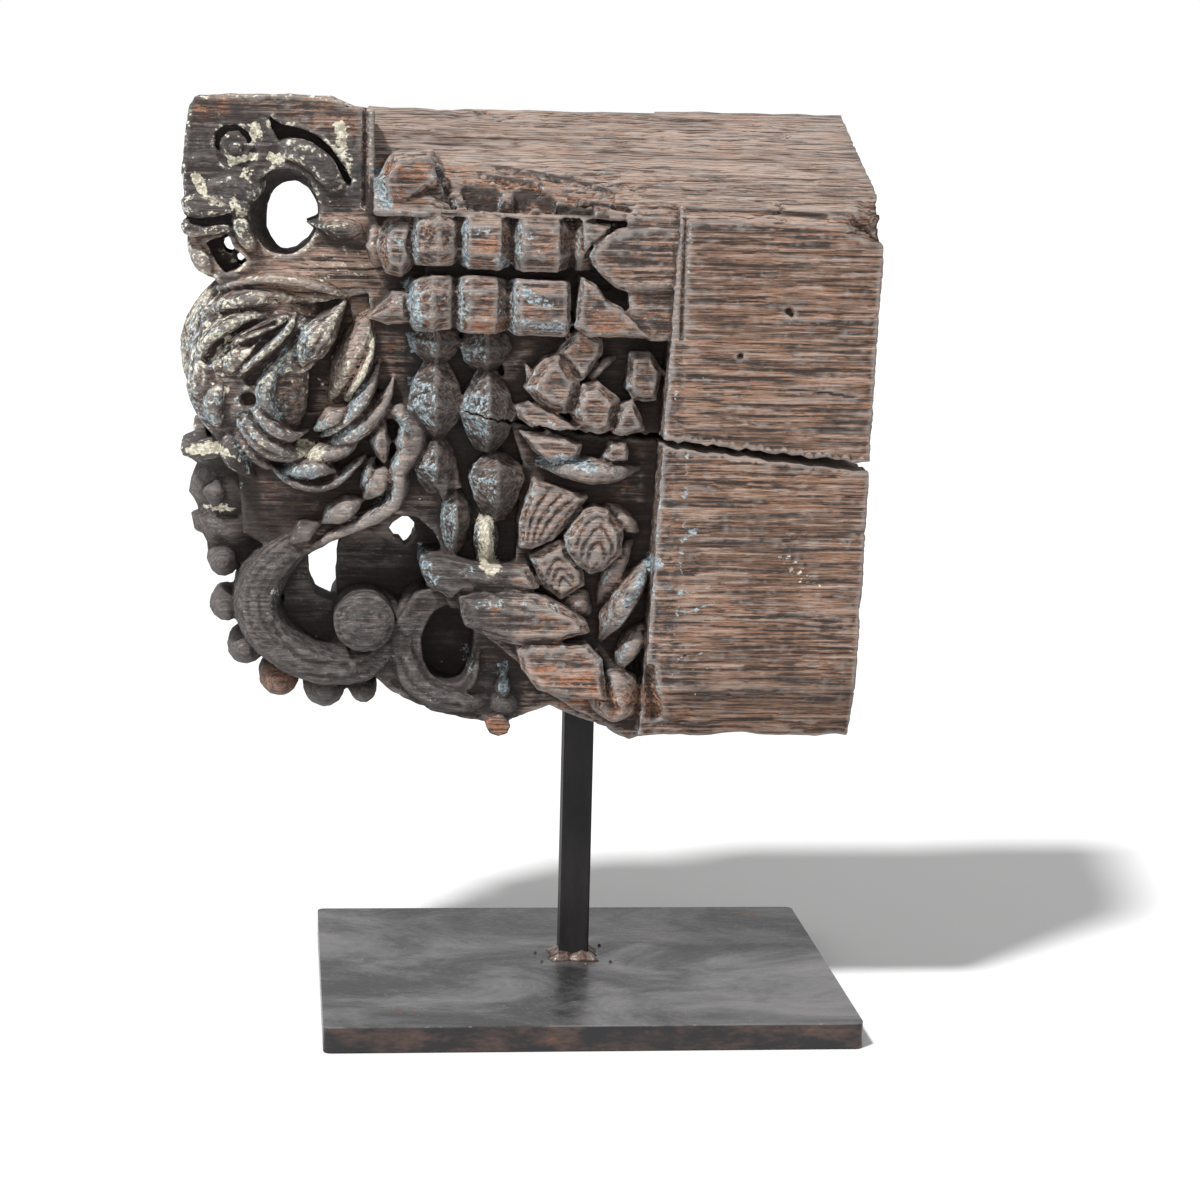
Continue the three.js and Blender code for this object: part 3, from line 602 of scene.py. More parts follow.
drop_leaves = [
    ([(-5, 138), (-1, 144.5), (3, 149), (9.5, 151.5)], (2, 2.2, 2.2, 2), 44, 1.0),
    ([(-3, 160.5), (-2, 154), (-6, 144.5)], (4, 4, 2), 45, 1.0),
    ([(-24.5, 109), (-13, 108.5), (-1, 107.5), (10.5, 107.5), (20.5, 108.5)], (0.6, 4.6, 5.6, 4.6, 0.6),
     (48, 53, 54, 53, 48), 1.6),
    ([(2.5, 95), (9, 91), (15, 86), (19.5, 82.5)], (2, 3.4, 3.4, 1), 47, 1.0),
    ([(19, 81.5), (13, 77), (9, 69), (6, 60.5), (1, 49)], (1, 4, 4.6, 4.6, 2), 45, 0.8),
    ([(23.5, 75.5), (18, 67), (12.5, 58), (7.5, 48.5), (4, 38.5)], (1, 5, 6, 6, 2.5), (50, 55, 55, 54, 52), 1.7),
    ([(25, 50.5), (18, 43), (13.5, 35), (11.5, 26.5)], (2, 4.4, 4.4, 2), 50, 1.2),
    ([(-12.5, 61.5), (-5.5, 55.5), (2, 48.5)], (6, 7, 2), 43, 1.0),
    ([(-56.5, 84.5), (-52, 88.5), (-47, 93)], 4, 40, 1.0),
    ([(-1, 19.5), (10, 19.5), (25, 19.5)], (10, 11, 10), 50, 0.5),
    ([(-70, 116.5), (-62.5, 111.5), (-58.5, 101.5), (-57, 93)], (2, 5, 5, 1.5), 41, 1.0),
    ([(-65, 69), (-50, 67.5), (-36, 66.5), (-24, 63)], (2, 3.4, 3.4, 1.5), 53.5, 1.6),
    ([(-50, 54), (-38, 55), (-24, 53), (-6, 48)], (2, 4, 4, 1.5), 56, 1.7),
]
for cheek in (-1, 1):
    for outline, face, edge, fall in bud_pads + drop_pads:
        pad(carving, outline, face, edge, fall, cheek)
    for spine, width, face, keel in drop_leaves:
        leaf(carving, spine, width, face, keel, cheek)


# Peacock
# A flat head with a round eye looks back over the nose, its neck bent round the opening. The egg of the body
# carries a wing of long feathers that curl round a hollow.

head_leaves = [
    ([(-126.5, 223), (-121.5, 227), (-115.5, 227), (-109, 224), (-103.5, 218.5), (-100, 212.5), (-98.5, 204)],
     (3.0, 4.6, 5.0, 5.0, 4.8, 4.6, 3.8), 32.5, 0.35),
    ([(-154, 220), (-149, 213), (-140, 210.5), (-132, 214), (-126, 219)], (2, 6.5, 8, 7, 4), 30.5, 0.6),
    ([(-138, 206.5), (-137, 200.5), (-134, 193.5), (-129.5, 185.5)], 3.4, 33, 0.5),
    ([(-156, 195), (-152.5, 188), (-149, 182.5), (-143, 178.5)], 3.6, 30, 0.7),
]
head_pads = [
    ([(-158.5, 207.5), (-156.5, 209), (-153.5, 210), (-146.5, 209.5), (-139, 208.5), (-133.5, 207), (-133, 204),
      (-139, 203), (-146.5, 201.5), (-153, 201), (-156.5, 202), (-158, 205)], 33, 1.5, 1.5),
    ([(-159, 198), (-156.5, 199.5), (-150, 197.5), (-141, 198.5), (-139.5, 196), (-146.5, 194.5), (-154.5, 193.5),
      (-157.5, 195)], 32, 1.5, 1.5),
]
wing_leaves = [
    ([(-146, 174), (-126.5, 178.5), (-111, 177), (-93, 171)], 3.4, 38, 1.6),
    ([(-151, 163), (-140, 169), (-126, 171.5), (-108, 169)], (2, 4.5, 5, 3), 37, 1.2),
    ([(-154, 144), (-150, 152.5), (-143, 159.5), (-132, 164), (-118, 165)], (2, 4.2, 4.4, 4.0, 1.6), 41, 1.6),
    ([(-143.5, 148), (-137, 155), (-129.5, 159), (-121, 163), (-115.5, 166)], (2, 3.4, 3.4, 3.0, 1.5), 43, 1.5),
    ([(-114.5, 167.5), (-117.5, 160.5), (-123, 154.5), (-129.5, 149), (-135.5, 143), (-138, 137.5)],
     (1.5, 2.6, 2.8, 2.8, 2.8, 1.5), 45, 1.6),
    ([(-137, 143), (-143, 138), (-146, 131), (-144.5, 124), (-142, 120)], (2, 4.6, 5.2, 4.6, 2.5), 41, 1.0),
    ([(-95.5, 171), (-104, 160), (-110.5, 151.5), (-114, 142)], (2.5, 6.8, 7.6, 1.5), 45, 1.4),
    ([(-117.5, 152), (-123.5, 144), (-126.5, 135.5), (-124.5, 128), (-118, 123)], (0.6, 4.4, 5.4, 5.0, 2.5), 45, 1.5),
    ([(-86.5, 168), (-90, 156), (-95.5, 144), (-102, 130.5)], (5, 7, 7.2, 4.5), 37, 1.8),
    ([(-84.5, 160), (-87, 149), (-92, 139), (-97, 132)], (1, 2.4, 2.4, 1), 41, 1.5),
    ([(-82.5, 149), (-86, 139), (-91, 130.5), (-98, 123), (-106, 117.5)], (1.5, 3.6, 3.8, 3.4, 2), 42.5, 1.5),
    ([(-76.5, 144), (-80, 134), (-85.5, 126), (-93.5, 119.5), (-101, 114.5), (-110, 111)],
     (1.5, 4.2, 4.6, 4.4, 3.8, 2), 41, 1.4),
    ([(-93.5, 131), (-100.5, 126), (-108, 120)], (1.5, 4.4, 2), 43, 1.5),
    ([(-130, 137), (-129.5, 129), (-124, 122.5), (-117, 119), (-109.5, 120)], (1, 3.6, 4.2, 4.0, 1.5), 45, 1.5),
    ([(-137.5, 131), (-134.5, 124), (-129.5, 118), (-122.5, 113.5), (-115, 111.5), (-107, 113)],
     (3.6, 5.2, 5.4, 5.0, 4.2, 2), 43, 0.9),
    ([(-138.5, 129.5), (-136.5, 119), (-130, 110), (-121.5, 104.5)], 2.8, 38, 1.0),
    ([(-139, 123), (-140, 116.5), (-137, 108.5), (-130, 101)], (2.5, 4.6, 5.2, 3), 40, 1.1),
    ([(-121, 104), (-114.5, 105.5), (-108.5, 106.2), (-103, 106), (-97, 104)], (1, 4.4, 5.2, 4.6, 1), 43, 1.5),
    ([(-126, 108), (-118, 101.8), (-109, 99), (-99.5, 101), (-92, 107), (-86.5, 112)], 2.4, 40, 1.4),
    ([(-116, 110), (-105, 111.5), (-96, 114.5), (-87.5, 121)], (2, 4.6, 4.6, 2), 40, 1.3),
    ([(-80.5, 127), (-82, 117), (-80, 106)], (1, 4.6, 2.0), 41, 1.6),
    ([(-74.5, 126), (-73, 117), (-75, 110)], (2, 4.2, 3), 40, 1.0),
    ([(-84.5, 111), (-87, 103.5), (-88.5, 96)], 2.4, 37, 1.2),
    ([(-68, 119), (-64, 112), (-60.5, 105), (-60, 96)], (3, 5.6, 5.6, 2), 41, 1.3),
]
breast = [(-133, 180), (-135, 160), (-133, 140), (-127, 122), (-117, 104)]
wing_pads = [
    ([(-142.5, 148.5), (-139, 152.5), (-130.5, 154.5), (-127, 157), (-129.5, 151), (-133.5, 145.5), (-140, 142),
      (-142.5, 144)], 41, 3, 4),
    ([(-59.5, 111), (-53, 110.5), (-51, 99.5), (-58, 99)], 36, 2, 2),
]
for cheek in (-1, 1):
    for spine, width, face, keel in head_leaves:
        leaf(carving, spine, width, face, keel, cheek, rings=12 * len(spine))
    for spine, width, face, keel in wing_leaves:
        leaf(carving, spine, width, face, keel, cheek, rings=12 * len(spine), square=0.85)
    leaf(carving, breast, (12, 20, 24, 22, 14), (30, 36, 37, 36, 30), 0.7, cheek)
    leaf(carving, [(-111.5, 199.5), (-101, 198), (-88, 197)], (0.8, 6.4, 8), (27, 38, 40), 1.0, cheek, square=1.7)
    for outline, face, edge, fall in head_pads + wing_pads:
        pad(carving, outline, face, edge, fall, cheek)
ball(carving, -138.3, 227.3, 6.0, 5.7, 30)


# Scrolls
# Under the bird a beaded C scroll with a disc in its eye is fed by ribs, and a small scroll sits beside it.
# A turned stem stands under the beak, and a string of beads runs round the nose.

ribs = [
    ([(-85, 120), (-83, 126), (-77, 128.5), (-72, 126), (-69, 119), (-72, 111.5), (-75, 106), (-75, 98.5),
      (-78.5, 91.5), (-88, 85.5), (-97.5, 81), (-107.5, 75), (-117.5, 68.5)],
     (2, 4.2, 5.2, 5.4, 5.2, 4.6, 4.2, 3.8, 3.5, 3.3, 3.1, 3, 2.6), 41, 0.8),
    ([(-76.5, 109.5), (-81, 104), (-85, 98.5), (-89, 92.5)], (1, 4.6, 4.6, 1), 40, 0.8),
    ([(-87, 94.5), (-93.5, 91.5), (-100, 88), (-105.5, 83.5)], (1, 4.4, 4.4, 0.8), 39.5, 0.8),
    ([(-104, 85), (-111, 81.5), (-118, 75.5)], (1, 4.2, 1), 38.5, 0.8),
]
for cheek in (-1, 1):
    for spine, width, face, keel in ribs:
        leaf(carving, spine, width, face, keel, cheek, root=0, rings=14 * len(spine))

great_scroll = [(-84, 98), (-92, 89), (-104, 81), (-116, 74), (-126, 63), (-129, 50), (-121, 37), (-105, 28),
                (-88, 28), (-76, 38), (-76, 50), (-84, 57)]
small_scroll = [(-62, 60), (-70, 52), (-73, 38), (-68, 23), (-56, 15), (-42, 15), (-37, 26), (-39, 40)]
leaf(carving, great_scroll, (4, 5, 6, 8, 9.5, 9.5, 9, 8.5, 8, 6, 5, 4), 35, root=-35, rings=120, blunt=0.4,
     square=0.5)
leaf(carving, small_scroll, (4, 5, 6, 6.5, 6.5, 5, 4, 3), 32, root=-32, rings=90, blunt=0.4, square=0.55)
tapered_hole(carving, (-87.7, 46.5), (11.5, 11.3), (-87.7, 46.5), (11.5, 11.3), -35.5, 35.5)
tapered_hole(carving, (-34.5, 4.8), (4.7, 4.2), (-34.5, 4.8), (4.7, 4.2), -30, 30, 8)
ball(carving, -32, 14, 10, 10, 33)
for cheek in (-1, 1):
    ball(carving, -87.7, 46.5, 10.4, 10.2, 4.5, y=34.5 * cheek)
slab(carving, [(-119, 76), (-112, 74.5), (-109.5, 70), (-109, 60), (-106, 53.5), (-98, 50), (-90, 46), (-90, 34),
               (-105, 32), (-118, 45)], -13, 13)
for cheek in (-1, 1):
    leaf(carving, [(-42, 39.5), (-43.5, 29), (-45, 22), (-49.5, 16)], 1.3, 34, 1.0, cheek)
    leaf(carving, [(-33, 30), (-33, 21), (-32, 13)], (1, 3.4, 2), 35, 1.0, cheek)
for x, z, radius in ((-142.4, 66.9, 6.4), (-141, 49, 6.6), (-133.3, 32.5, 7.4), (-120.3, 20.6, 8.2),
                     (-102.3, 16.6, 8.6), (-87.2, 16.2, 5.8)):
    ball(carving, x, z, radius, radius, 25)
stem = [(120, 12), (114, 15), (113, 21), (108, 20.5), (104, 16), (99, 18), (93, 19), (88, 16), (85, 15.5), (84, 18),
        (78, 17), (76, 14), (73, 12), (64, 10)]
turned(carving, stem, -137, 21, 1, root=-21, sides=24)
for cheek in (-1, 1):
    pad(carving, [(-154, 121), (-149, 121), (-148.5, 114.5), (-154, 114.5)], 16, 1, 1, cheek)
    pad(carving, [(-159, 112.5), (-154.5, 114.5), (-148.5, 116), (-139.5, 118), (-139.5, 110), (-147, 108),
                  (-153.5, 108), (-158, 109.5)], 23, 1, 1.5, cheek)
    leaf(carving, [(-144.5, 100.5), (-145.5, 95), (-145.5, 88)], (1, 4.6, 3), 23, 1.0, cheek)


# Joining the carving
# All of it is one piece of wood, so the forms are grown together into one skin before it is split and weathered.

def applied(thing, name):
    """The thing's mesh with its modifiers worked in, in place of the thing."""
    mesh = bpy.data.meshes.new_from_object(thing.evaluated_get(bpy.context.evaluated_depsgraph_get()))
    bpy.data.objects.remove(thing)
    mesh.name = name
    return linked_object(name, mesh)


def cut_away(thing, cutter, solver):
    chop = thing.modifiers.new("cut", "BOOLEAN")
    chop.operation = "DIFFERENCE"
    chop.solver = solver
    chop.object = cutter
    if solver == "EXACT":
        chop.use_self = True
    result = applied(thing, thing.name)
    bpy.data.objects.remove(cutter)
    return result


ground = cut_away(loose_object("corbel_ground", blank), loose_object("hollows", hollows), "EXACT")

whole = bmesh.new()
whole.from_mesh(ground.data)
carving_mesh = bpy.data.meshes.new("carving")
carving.to_mesh(carving_mesh)
whole.from_mesh(carving_mesh)
bpy.data.objects.remove(ground)
skin = loose_object("corbel_skin", whole)
regrow = skin.modifiers.new("grown together", "REMESH")
regrow.mode = "VOXEL"
regrow.voxel_size = 0.8
skin = applied(skin, "corbel_skin")


# Crack, gap and socket
# A shrinkage crack runs in from the sawn end along the grain and dies out in the beads. The gap under the bird
# goes right through, and the socket takes the post.

openings = bmesh.new()
crack_line = [(-62, 131.5), (-46, 129), (-30, 125.5), (0, 121.5), (26, 120), (62, 116), (112, 111)]
crack_steps = 90
upper, lower = [], []
for i in range(crack_steps + 1):
    place, _ = along_curve(crack_line, i / crack_steps)
    gape = 2.3 * (0.1 + 0.9 * (i / crack_steps) ** 0.9)
    ragged = 0.35 * math.sin(i * 1.3) + 0.25 * math.sin(i * 3.7 + 1)
    upper.append((place.x, place.y + gape + ragged + 0.3 * math.sin(i * 2.6)))
    lower.append((place.x, place.y - gape + ragged))
slab(openings, upper + lower[::-1], -60, 11)
gap = [(-77.7, 80), (-75.5, 76), (-73.5, 75.5), (-71.5, 72.8), (-68.6, 74.5), (-66.8, 78), (-67.4, 82),
       (-70.5, 85), (-74, 84)]
slab(openings, rounded(gap), -60, 60)
slab(openings, [(-6.75, -5), (6.75, -5), (6.75, 60), (-6.75, 60)], -6.75, 6.75)
skin = cut_away(skin, loose_object("openings", openings), "MANIFOLD")


# Gouge lines
# The last cuts of the carver, made with a narrow veiner over the finished forms: barbs of the feathers, veins of
# the petals, lines along the scrolls. Each is a line with its width and depth.

gouge_lines = [
    ([(-122.5, 45.5), (-118.5, 38), (-109.5, 31), (-94, 29)], 1.8, 1.2),
    ([(-132, 64), (-132.5, 50.5), (-127, 36), (-115.5, 27), (-97.5, 24), (-85.5, 26)], 1.4, 0.6),
    ([(-124.5, 66), (-128.5, 55), (-124.5, 43.5), (-113, 32.5), (-97.5, 29)], 1.4, 0.6),
    ([(-119.5, 73), (-129, 65), (-134.5, 52.5), (-131, 38), (-121.5, 29), (-108.5, 23), (-92.5, 22.5)], 1.2, 0.5),
    ([(-75.5, 22), (-65.5, 14.5), (-53, 10), (-42, 7.5)], 1.7, 1.4),
    ([(-73, 31), (-68, 22), (-59, 15.5), (-50, 13)], 1.6, 1.2),
    ([(-26.5, 78.5), (-25, 87.5), (-22, 95), (-18.5, 100)], 1.1, 1.0),
    ([(-24, 79), (-22, 87.5), (-17.5, 94.5), (-13.5, 98.5)], 1.1, 1.0),
    ([(-21.5, 81), (-18.5, 87.5), (-13.5, 93.5), (-8.5, 97.5)], 1.1, 1.0),
    ([(-18.5, 81.5), (-14, 87.5), (-9.5, 92.5), (-5.5, 96.5)], 1.1, 1.0),
    ([(-8, 76), (-7, 81), (-4, 88), (0.5, 91), (6, 88.5), (9.5, 81), (8, 74.5)], 1.1, 0.9),
    ([(-5.5, 74.5), (-4.5, 79.5), (-1.5, 84.5), (1.5, 87), (4, 84.5), (6.5, 79.5), (5.5, 73.5)], 1.1, 0.9),
    ([(-3, 72), (-2.5, 76), (-0.5, 80), (2, 80.5), (3.5, 76), (3, 72)], 1.1, 0.9),
    ([(-1, 70), (1, 73), (2.5, 71)], 1.1, 0.8), ([(-18, 65.5), (-16.5, 71), (-13, 73.5), (-9, 70)], 1.1, 0.9),
    ([(-16, 63), (-14.5, 68.5), (-12, 70), (-8, 66)], 1.1, 0.9), ([(-14, 60.5), (-12, 66), (-8.5, 63.5)], 1.1, 0.9),
    ([(12.5, 61.5), (20, 62)], 1.0, 0.9), ([(11.5, 59), (19.5, 59.5)], 1.0, 0.9),
    ([(12, 56.5), (18.5, 57)], 1.0, 0.9), ([(5, 27.5), (6.5, 21.5), (9, 15)], 3.0, 2.6),
    ([(21, 31), (22.5, 22.5), (24.5, 14)], 4.0, 5.0), ([(-125, 171), (-118, 170), (-109.5, 168.5)], 1.6, 2.6),
    ([(-148.5, 147.5), (-142, 155), (-132, 160), (-123.5, 162)], 2.4, 4.0),
    ([(-125.5, 157.5), (-119.5, 161.5)], 1.6, 3.0), ([(-148, 164.5), (-144.5, 167.5), (-140.5, 169.5)], 1.1, 1.2),
    ([(-132, 140.5), (-127, 145.5), (-121, 151.5), (-115, 157)], 3.0, 4.0),
    ([(-111, 158.5), (-112.5, 152), (-113, 145.5)], 1.3, 1.1),
    ([(-105.5, 158.5), (-109, 152), (-111.5, 146.5)], 1.3, 1.1),
    ([(-88.5, 126.5), (-83, 133.5), (-78.5, 140)], 1.2, 1.1), ([(-81.5, 124.5), (-82, 117.5), (-81, 110)], 1.2, 1.2),
    ([(-136, 126), (-132, 119), (-126, 113.5), (-117.5, 110.5)], 1.2, 1.0),
    ([(-144.5, 227), (-143, 223), (-138.5, 221), (-133, 222.5), (-131.5, 227)], 1.7, 1.8),
    ([(-89.5, 244.5), (-89, 207)], 1.4, 2.2), ([(-156.5, 201), (-150.5, 200), (-140.5, 200.5)], 1.8, 2.2),
    ([(32, 208.4), (58, 207.6), (84.3, 206.3)], 2.2, 1.6), ([(30.8, 205), (30.6, 180), (30.4, 160)], 1.1, 1.6),
    ([(-45, 63), (-34, 63), (-26, 62)], 1.8, 1.6),

]


def read_skin(mesh):
    count = len(mesh.vertices)
    places = np.empty(count * 3)
    normals = np.empty(count * 3)
    mesh.vertices.foreach_get("co", places)
    mesh.vertices.foreach_get("normal", normals)
    return places.reshape(-1, 3), normals.reshape(-1, 3)


def off_line(flat, line, reach):
    """Distance of each place on the cheek from a smooth line through the points, up to the reach."""
    spots = np.array([along_curve(line, i / (8 * len(line)))[0] for i in range(8 * len(line) + 1)])
    away = np.full(len(flat), reach)
    near = np.flatnonzero(np.all((flat > spots.min(0) - reach) & (flat < spots.max(0) + reach), axis=1))
    for start, end in zip(spots, spots[1:]):
        run = end - start
        share = np.clip(((flat[near] - start) @ run) / (run @ run + 1e-9), 0, 1)
        away[near] = np.minimum(away[near], np.linalg.norm(flat[near] - start - share[:, None] * run, axis=1))
    return away


def neighbours_of(mesh):
    """A tool that gives each corner of the skin the mean of its neighbours' values."""
    ends = np.empty(len(mesh.edges) * 2, dtype=np.int64)
    mesh.edges.foreach_get("vertices", ends)
    first, second = ends.reshape(-1, 2).T
    count = len(mesh.vertices)
    partners = np.maximum(np.bincount(ends, minlength=count), 1)

    def mean_of_neighbours(values):
        columns = [(np.bincount(first, column[second], count) + np.bincount(second, column[first], count)) / partners
                   for column in values.T]
        return np.stack(columns, axis=1)

    return mean_of_neighbours


# Edges that were blunted when the skin was grown are brought out again, and then the lines are cut.
places, normals = read_skin(skin.data)
mean_of_neighbours = neighbours_of(skin.data)
blunted = places
for _ in range(4):
    blunted = mean_of_neighbours(blunted)
crisp = np.clip(np.einsum("ij,ij->i", places - blunted, normals), -0.5, 0.5)
places = places + normals * (0.9 * crisp)[:, None]
flat = places[:, (0, 2)]
outward = np.clip(np.abs(normals[:, 1]) * 2.5 - 0.6, 0, 1) * (np.abs(places[:, 1]) > 17)
sunk = np.zeros(len(places))
for line, width, depth in gouge_lines:
    away = off_line(flat, line, width)
    sunk = np.maximum(sunk, depth * (1 - (away / width) ** 1.3))
places[:, 1] -= np.sign(places[:, 1]) * sunk * outward


# Weathering
# Rain and sun have eaten the soft wood out from between the hard lines of the grain, most of all on top. Above
# the rows the arris has rotted back to flakes and dark pockets, and the carving's edges are worn.

def cell_noise(points, seed):
    """Smooth noise from -1 to 1 with one bump to a unit."""
    cell = np.floor(points).astype(np.int64)
    share = points - cell
    share = share * share * (3.0 - 2.0 * share)
    total = np.zeros(len(points))
    for corner in product((0, 1), repeat=3):
        key = (cell + corner) @ np.array((73856093, 19349663, 83492791)) + seed * 2654435761
        key = (key ^ (key >> 13)) * 1274126177
        key = (key ^ (key >> 16)) & 0xFFFF
        weight = np.prod(np.where(np.array(corner) == 1, share, 1.0 - share), axis=1)
        total += weight * (key / 32767.5 - 1.0)
    return total


def layered(points, scale, seed, layers=3):
    """Noise with bumps of the scale's size in millimetres and finer ones on them."""
    points = points / np.array(scale)
    return sum(cell_noise(points * 2 ** i + 17.3 * i, seed + i) / 2 ** i for i in range(layers))


def rise(value, low, high):
    """Eased from 0 at the low value to 1 at the high one."""
    share = np.clip((value - low) / (high - low), 0, 1)
    return share * share * (3 - 2 * share)


def below(value, low, high):
    """Eased from 1 at the low value to 0 at the high one."""
    return rise(-value, -high, -low)


x, y, z = places.T
on_tail = rise(x, 28, 34)
upward = rise(normals[:, 2], 0.55, 0.9) * rise(z, 195, 205)
wave = places + np.c_[0 * x, 0 * x, 2.5 * layered(places, (50, 60, 40), 5, 2)]
grain = 1 - 2 * np.abs(layered(wave, (42, 3.0, 2.4), 1, 2))
furrow = layered(wave, (90, 6, 5), 3, 3)
splits = below(np.abs(layered(wave, (130, 9, 8), 61, 2)), 0.01, 0.045)
splits *= rise(layered(places, (40, 12, 12), 63, 2), -0.1, 0.4)
dents = layered(places, (7, 7, 7), 8, 3) + (1 - on_tail) * 0.7 * layered(places, (3.2, 2.4, 2.4), 71, 2)
depth = (0.08 + 0.2 * on_tail) * grain + upward * (0.45 * furrow + 0.15 * grain) + 0.3 * dents
depth -= np.maximum(on_tail, upward) * 1.1 * splits

rotten = rise(x, -66, -58) * below(x, 0, 24) * rise(z, 203, 208) * below(y, -40, -2) * below(z, 222, 232)
flakes = layered(wave, (16, 4.5, 2.6), 21, 3)
pits = rise(layered(wave, (20, 9, 5), 31, 2), 0.1, 0.75)
depth -= rotten * (1.2 + 2.6 * np.round(flakes * 2) / 2 + 3.5 * pits)
rot_pockets = [([(-51, 213.5), (-40, 212.5)], 2.6, 10), ([(-31, 211.5), (-20, 210.5)], 3.2, 12),
               ([(-50, 209.8), (-29, 207.5)], 1.8, 9), ([(-21, 208), (-5, 206.5)], 2.4, 6),
               ([(-62, 221), (-59, 214), (-56, 210)], 1.4, 5), ([(-45, 219), (-22, 216)], 1.2, 4.5),
               ([(-12, 211), (10, 208)], 1.1, 3.5), ([(-38, 222), (-15, 219), (5, 214)], 1.0, 3)]
for line, width, drop in rot_pockets:
    depth -= (y < -12) * drop * (1 - (off_line(places[:, (0, 2)], line, width) / width) ** 2)

# Knots, nail holes and the broken corner of the sawn end.
for spot_x, spot_z, reach, drop in ((71.4, 171.2, 1.2, 3.5), (72.6, 169.9, 0.9, 3.0), (53.4, 153.7, 1.0, 3.0),
                                    (-133.1, 132.7, 2.4, 5.0)):
    away = np.hypot(x - spot_x, z - spot_z)
    depth -= (np.abs(y) > 20) * drop * np.clip(1 - (away / (reach * 1.4)) ** 2, 0, 1)
corner = np.hypot((x - 108) / 17, (z - 205.5) / 9.5)
depth -= (y < -25) * below(corner, 0.45, 1) * (4.5 + 2.2 * layered(wave, (12, 3, 3), 41, 2))
foot_wear = below(z, 4, 16) * rise(x, -20, 5)
depth -= foot_wear * (0.8 + 1.2 * layered(places, (14, 8, 5), 51, 2)) * below(normals[:, 2], -0.6, -0.2)

places = places + normals * depth[:, None]
skin.data.vertices.foreach_set("co", places.ravel())

# The skin is thinned, the plainer back more than the front.
TRIANGLES = 180000
back = skin.vertex_groups.new(name="back")
back_share = 0.25 + 0.75 * rise(y, -24, -12)
for level in range(4):
    chosen = np.flatnonzero(np.round(back_share * 4).astype(int) == level + 1)
    back.add(chosen.tolist(), (level + 1) / 4, "REPLACE")
thin = skin.modifiers.new("thinned", "DECIMATE")
thin.vertex_group = "back"
thin.vertex_group_factor = 4.0
thin.ratio = min(1.0, TRIANGLES / (2.0 * len(skin.data.polygons)))
skin = applied(skin, "carved_wood")


# Patina, paint and painted light
# Where the old coats of pale blue and cream are left, where a knock has bared fresh wood, where grime and painted
# shade darken the recesses, the underside of the beak, the wing's hollow and the facets turned from the key light,
# and where wear and painted highlights of blue and pale grey go on the edges and facets turned to it. They are kept
# as amounts on the skin and broken up in the finish.

mesh = skin.data
places, normals = read_skin(mesh)
mean_of_neighbours = neighbours_of(mesh)
smooth = places
hollow_by_reach = []
for rounds in (3, 22):  # the second goes on from the first
    for _ in range(rounds):
        smooth = (smooth + mean_of_neighbours(smooth)) / 2
    hollow_by_reach.append(np.einsum("ij,ij->i", smooth - places, normals))
close_hollow, wide_hollow = hollow_by_reach

# How deep each place lies under the outermost wood round it, from a map of each cheek in small square cells.
x, y, z = places.T
cell, cells_round = 2, 5
cells_x, cells_z = ((x + 175) / cell).astype(int), ((z + 10) / cell).astype(int)
under_face = np.zeros(len(x))
for cheek in (-1, 1):
    faces = np.zeros((160, 140))
    mine = y * cheek > 0
    np.maximum.at(faces, (cells_x[mine], cells_z[mine]), (y * cheek)[mine])
    spread = np.zeros_like(faces)
    for shift in product(range(-cells_round, cells_round + 1), repeat=2):
        spread += np.roll(faces, shift, (0, 1)) / (2 * cells_round + 1) ** 2
    under_face[mine] = (spread[cells_x, cells_z] - y * cheek)[mine]
carved = below(x, 30, 33) * below(normals[:, 2] * (z > 205), 0.5, 0.8)
# Painted shade in recesses: darker the deeper a place lies under the face round it, in wide hollows and in creases,
# together with the grime gathered there.
recess_shade_and_grime = np.clip(rise(under_face, 1.5, 15) + rise(wide_hollow, 0.1, 0.9) * 0.5, 0, 1) * below(x, 30, 34)
recess_shade_and_grime = np.maximum(recess_shade_and_grime, rise(close_hollow, 0.03, 0.25) * 0.75)
edge = below(close_hollow, -0.2, -0.02)

flat = places[:, (0, 2)]
front = y < 0


def dabs(lines):
    """Amount of what was dabbed on along lines or at spots, each with its width and strength."""
    amount = np.zeros(len(flat))
    for line, width, strength in lines:
        line = line if len(line) > 1 else [line[0], (line[0][0] + 0.1, line[0][1])]
        away = off_line(flat, line, width * 1.5)
        amount = np.maximum(amount, strength * below(away, width * 0.4, width * 1.5))
    return amount


